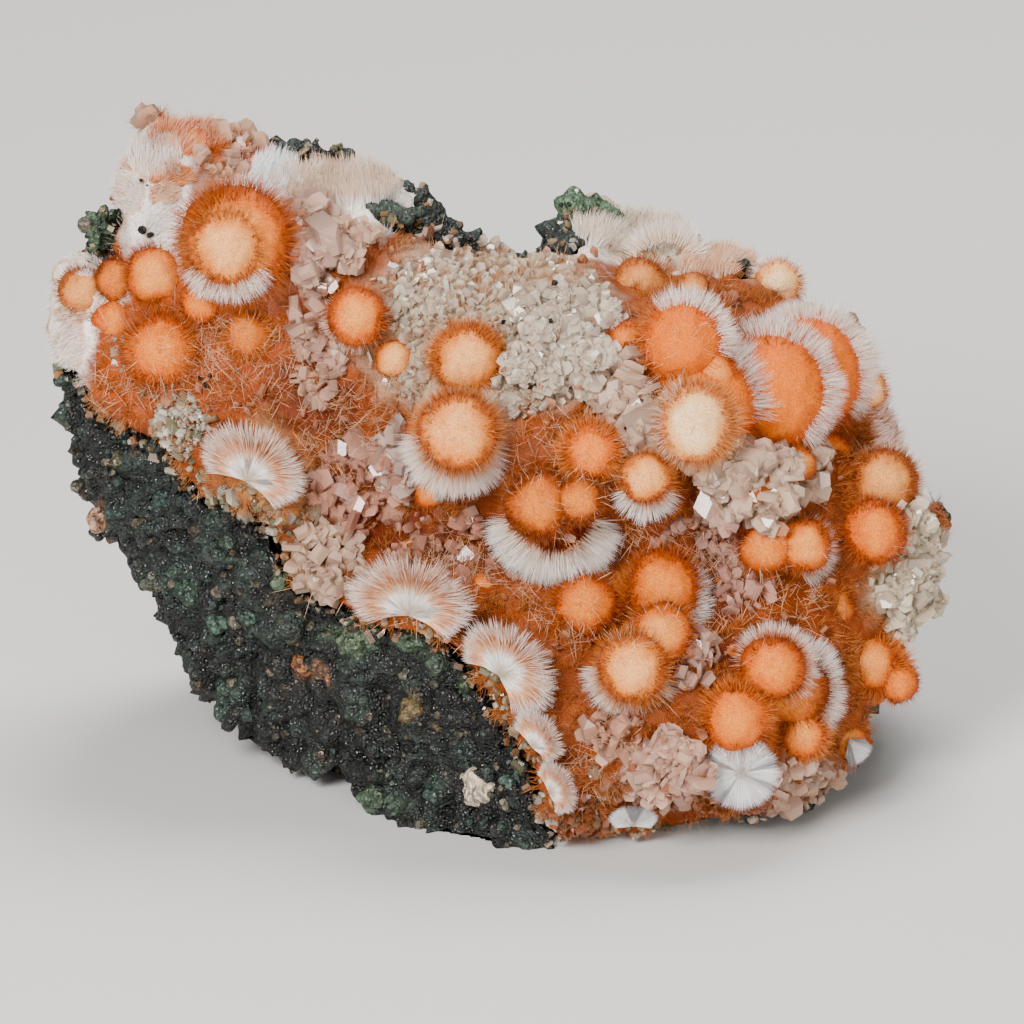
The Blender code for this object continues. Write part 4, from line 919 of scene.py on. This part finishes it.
# Coating and nodules of the basalt
# Small grains of crystal and clay coat the basalt along the broken edge of the crust. Farther out, round
# green, tan and white nodules sit in its pits.
NODULES = (  # x, y, radius, colour
    (-37.4, -13.2, 1.9, "#2A3A2E"), (-34.2, -17.2, 1.4, "#3A4C3E"), (-30.4, -16.4, 1.2, "#34463A"),
    (-32.8, -7.6, 1.4, "#2A342A"), (-18.2, -19.2, 2, "#46553E"), (-33.2, -25.2, 1.4, "#2A382E"),
    (-33.6, -28.2, 1.2, "#28352C"), (-15.2, -38.4, 2, "#34422F"), (-10.8, -19.2, 1.8, "#3A4A38"),
    (-42.2, -11.8, 1.8, "#4A4C40"), (-24.2, -22.2, 1.3, "#7A4A28"), (-11, -27.6, 1.6, "#5A4A2C"),
    (-2.4, -36.6, 2.4, "#B8A890"), (-48.8, -4.8, 1.3, "#A07A60"), (5.5, -39.4, 1.2, "#C8BCA8"),
    (-26.6, -12, 1.2, "#4A5A44"), (-7.6, -21.8, 1.5, "#2E3A2C"), (-4.4, -24.6, 1.2, "#34442F"),
    (-46.2, 2.6, 1.1, "#56503C"), (-41, -2.4, 1.2, "#1C2A26"), (0.6, -36, 1, "#3A4C42"),
)
SPECKS = (  # x, y, radius of bits of basalt caught in the white crust and in the crest of crystals
    (-0.7, 17.8, 0.35), (-0.6, 16.7, 0.4), (-0.2, 15.8, 0.3), (0.2, 18.9, 0.3), (6.3, 23.6, 0.35),
    (4.2, 24.6, 0.25), (-43.2, 30, 0.6), (-42.2, 29.4, 0.4), (-43.4, 36, 0.28), (-42.6, 35.4, 0.2),
    (-47.6, 26.6, 0.35), (-46.8, 27.3, 0.35), (5.8, 19, 0.35), (-35.6, 11.4, 0.35), (-36.4, 12.3, 0.3),
    (-35, 12.5, 0.25),
)
SMALL_COLOURS = ("#26302A", "#3A352A", "#1A1A16", "#4A4234", "#32281C", "#2C3A32", "#5A5244")
COATING_COLOURS = ("#C8B090", "#DCD0BC", "#B08A68", "#8C8668", "#C89060", "#B49A78", "#9C7450")
COATED = 7.0  # mm, how near the basalt the crust is coated too
BREAK_SLOPE, BREAK_AT, BREAK_END = 0.9, -24.0, -47.0  # and only where 0.9 x + y < -24 and x > -47
CLOSE = 1.5  # mm from the crust, where the basalt has grains and not nodules
PLACES, SMALL_NODULES = 16000, 260
NODULE_SINK = 0.35  # of its radius, how deep a nodule's middle sits
SPECK_RISE = 0.8  # mm, so that the specks show between the fibres
COATING_LENGTH = 0.7
rough_tree = BVHTree.FromPolygons(basalt_points.tolist(), basalt_quads.tolist())
spread = chance.uniform((-56, -46), (56, 46), (PLACES, 2))
found = []  # x, y, w, outward direction and whether the crust is close, for each place
for x, y in spread:
    hit, normal = cast(rough_tree, x, y)
    before, before_normal = cast(crust_tree, x, y)
    bare = before is None
    broken = not bare and BREAK_SLOPE * x + y < BREAK_AT and x > BREAK_END and clear_of_fans(x, y)
    if hit is not None and bare or broken and rock_tree.find_nearest(before)[3] < COATED * MM:
        spot, facing = (hit, normal) if bare else (before, before_normal)
        close = not bare or crust_tree.find_nearest(hit)[3] < CLOSE * MM
        found.append((*to_face([spot])[0], *(FACE_AXES @ np.array(facing)), close))
found = np.array(found)
close = found[:, 6] > 0
near, near_normals, far = found[close, :3], found[close, 3:6], found[~close, :3]
long = COATING_LENGTH * chance.lognormal(0.0, 0.4, len(near))
directions = unit(near_normals + chance.normal(0, 0.6, near.shape))
tints = colours(COATING_COLOURS)[chance.integers(0, len(COATING_COLOURS), len(near))]
roots = near - directions * (0.5 * long)[:, None]
coating = crystal_piece("coating_grains", roots, directions, long, long, tints)
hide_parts("basalt_matrix")
points, faces, tints, count = [], [], [], 0
picked = chance.choice(len(far), SMALL_NODULES, replace=False)
rows = [(*far[k], 0.25 + 0.75 * chance.uniform() ** 3, SMALL_COLOURS[k % len(SMALL_COLOURS)])
        for k in picked]
rows += [(x, y, surface_depth(rough_tree, x, y), radius, colour) for x, y, radius, colour in NODULES]
rows += [(x, y, surface_depth(whole_tree, x, y) + SPECK_RISE, radius, LAVA) for x, y, radius in SPECKS]
for x, y, depth, radius, colour in rows:
    units, triangles = globe(radius, max(BALL_GRAIN, 0.7 * radius) if radius < 0.9 else BALL_GRAIN)
    spots = (x, y, depth - NODULE_SINK * radius) + units * radius
    uneven = 0.4 * lumps(spots, 0.9 * radius, 2.0) + 0.15 * lumps(spots, 0.4 * radius, 5.0)
    spots = spots + units * (radius * uneven)[:, None]
    points.append(spots)
    faces.append(triangles + count)
    tints.append(np.tile(linear(colour), (len(spots), 1)))
    count += len(spots)
nodules = mesh_piece("basalt_nodules", above_floor(np.vstack(points)), np.vstack(faces), np.vstack(tints))
nodules.data.materials.append(rock)
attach(nodules, "root")
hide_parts("basalt_matrix")
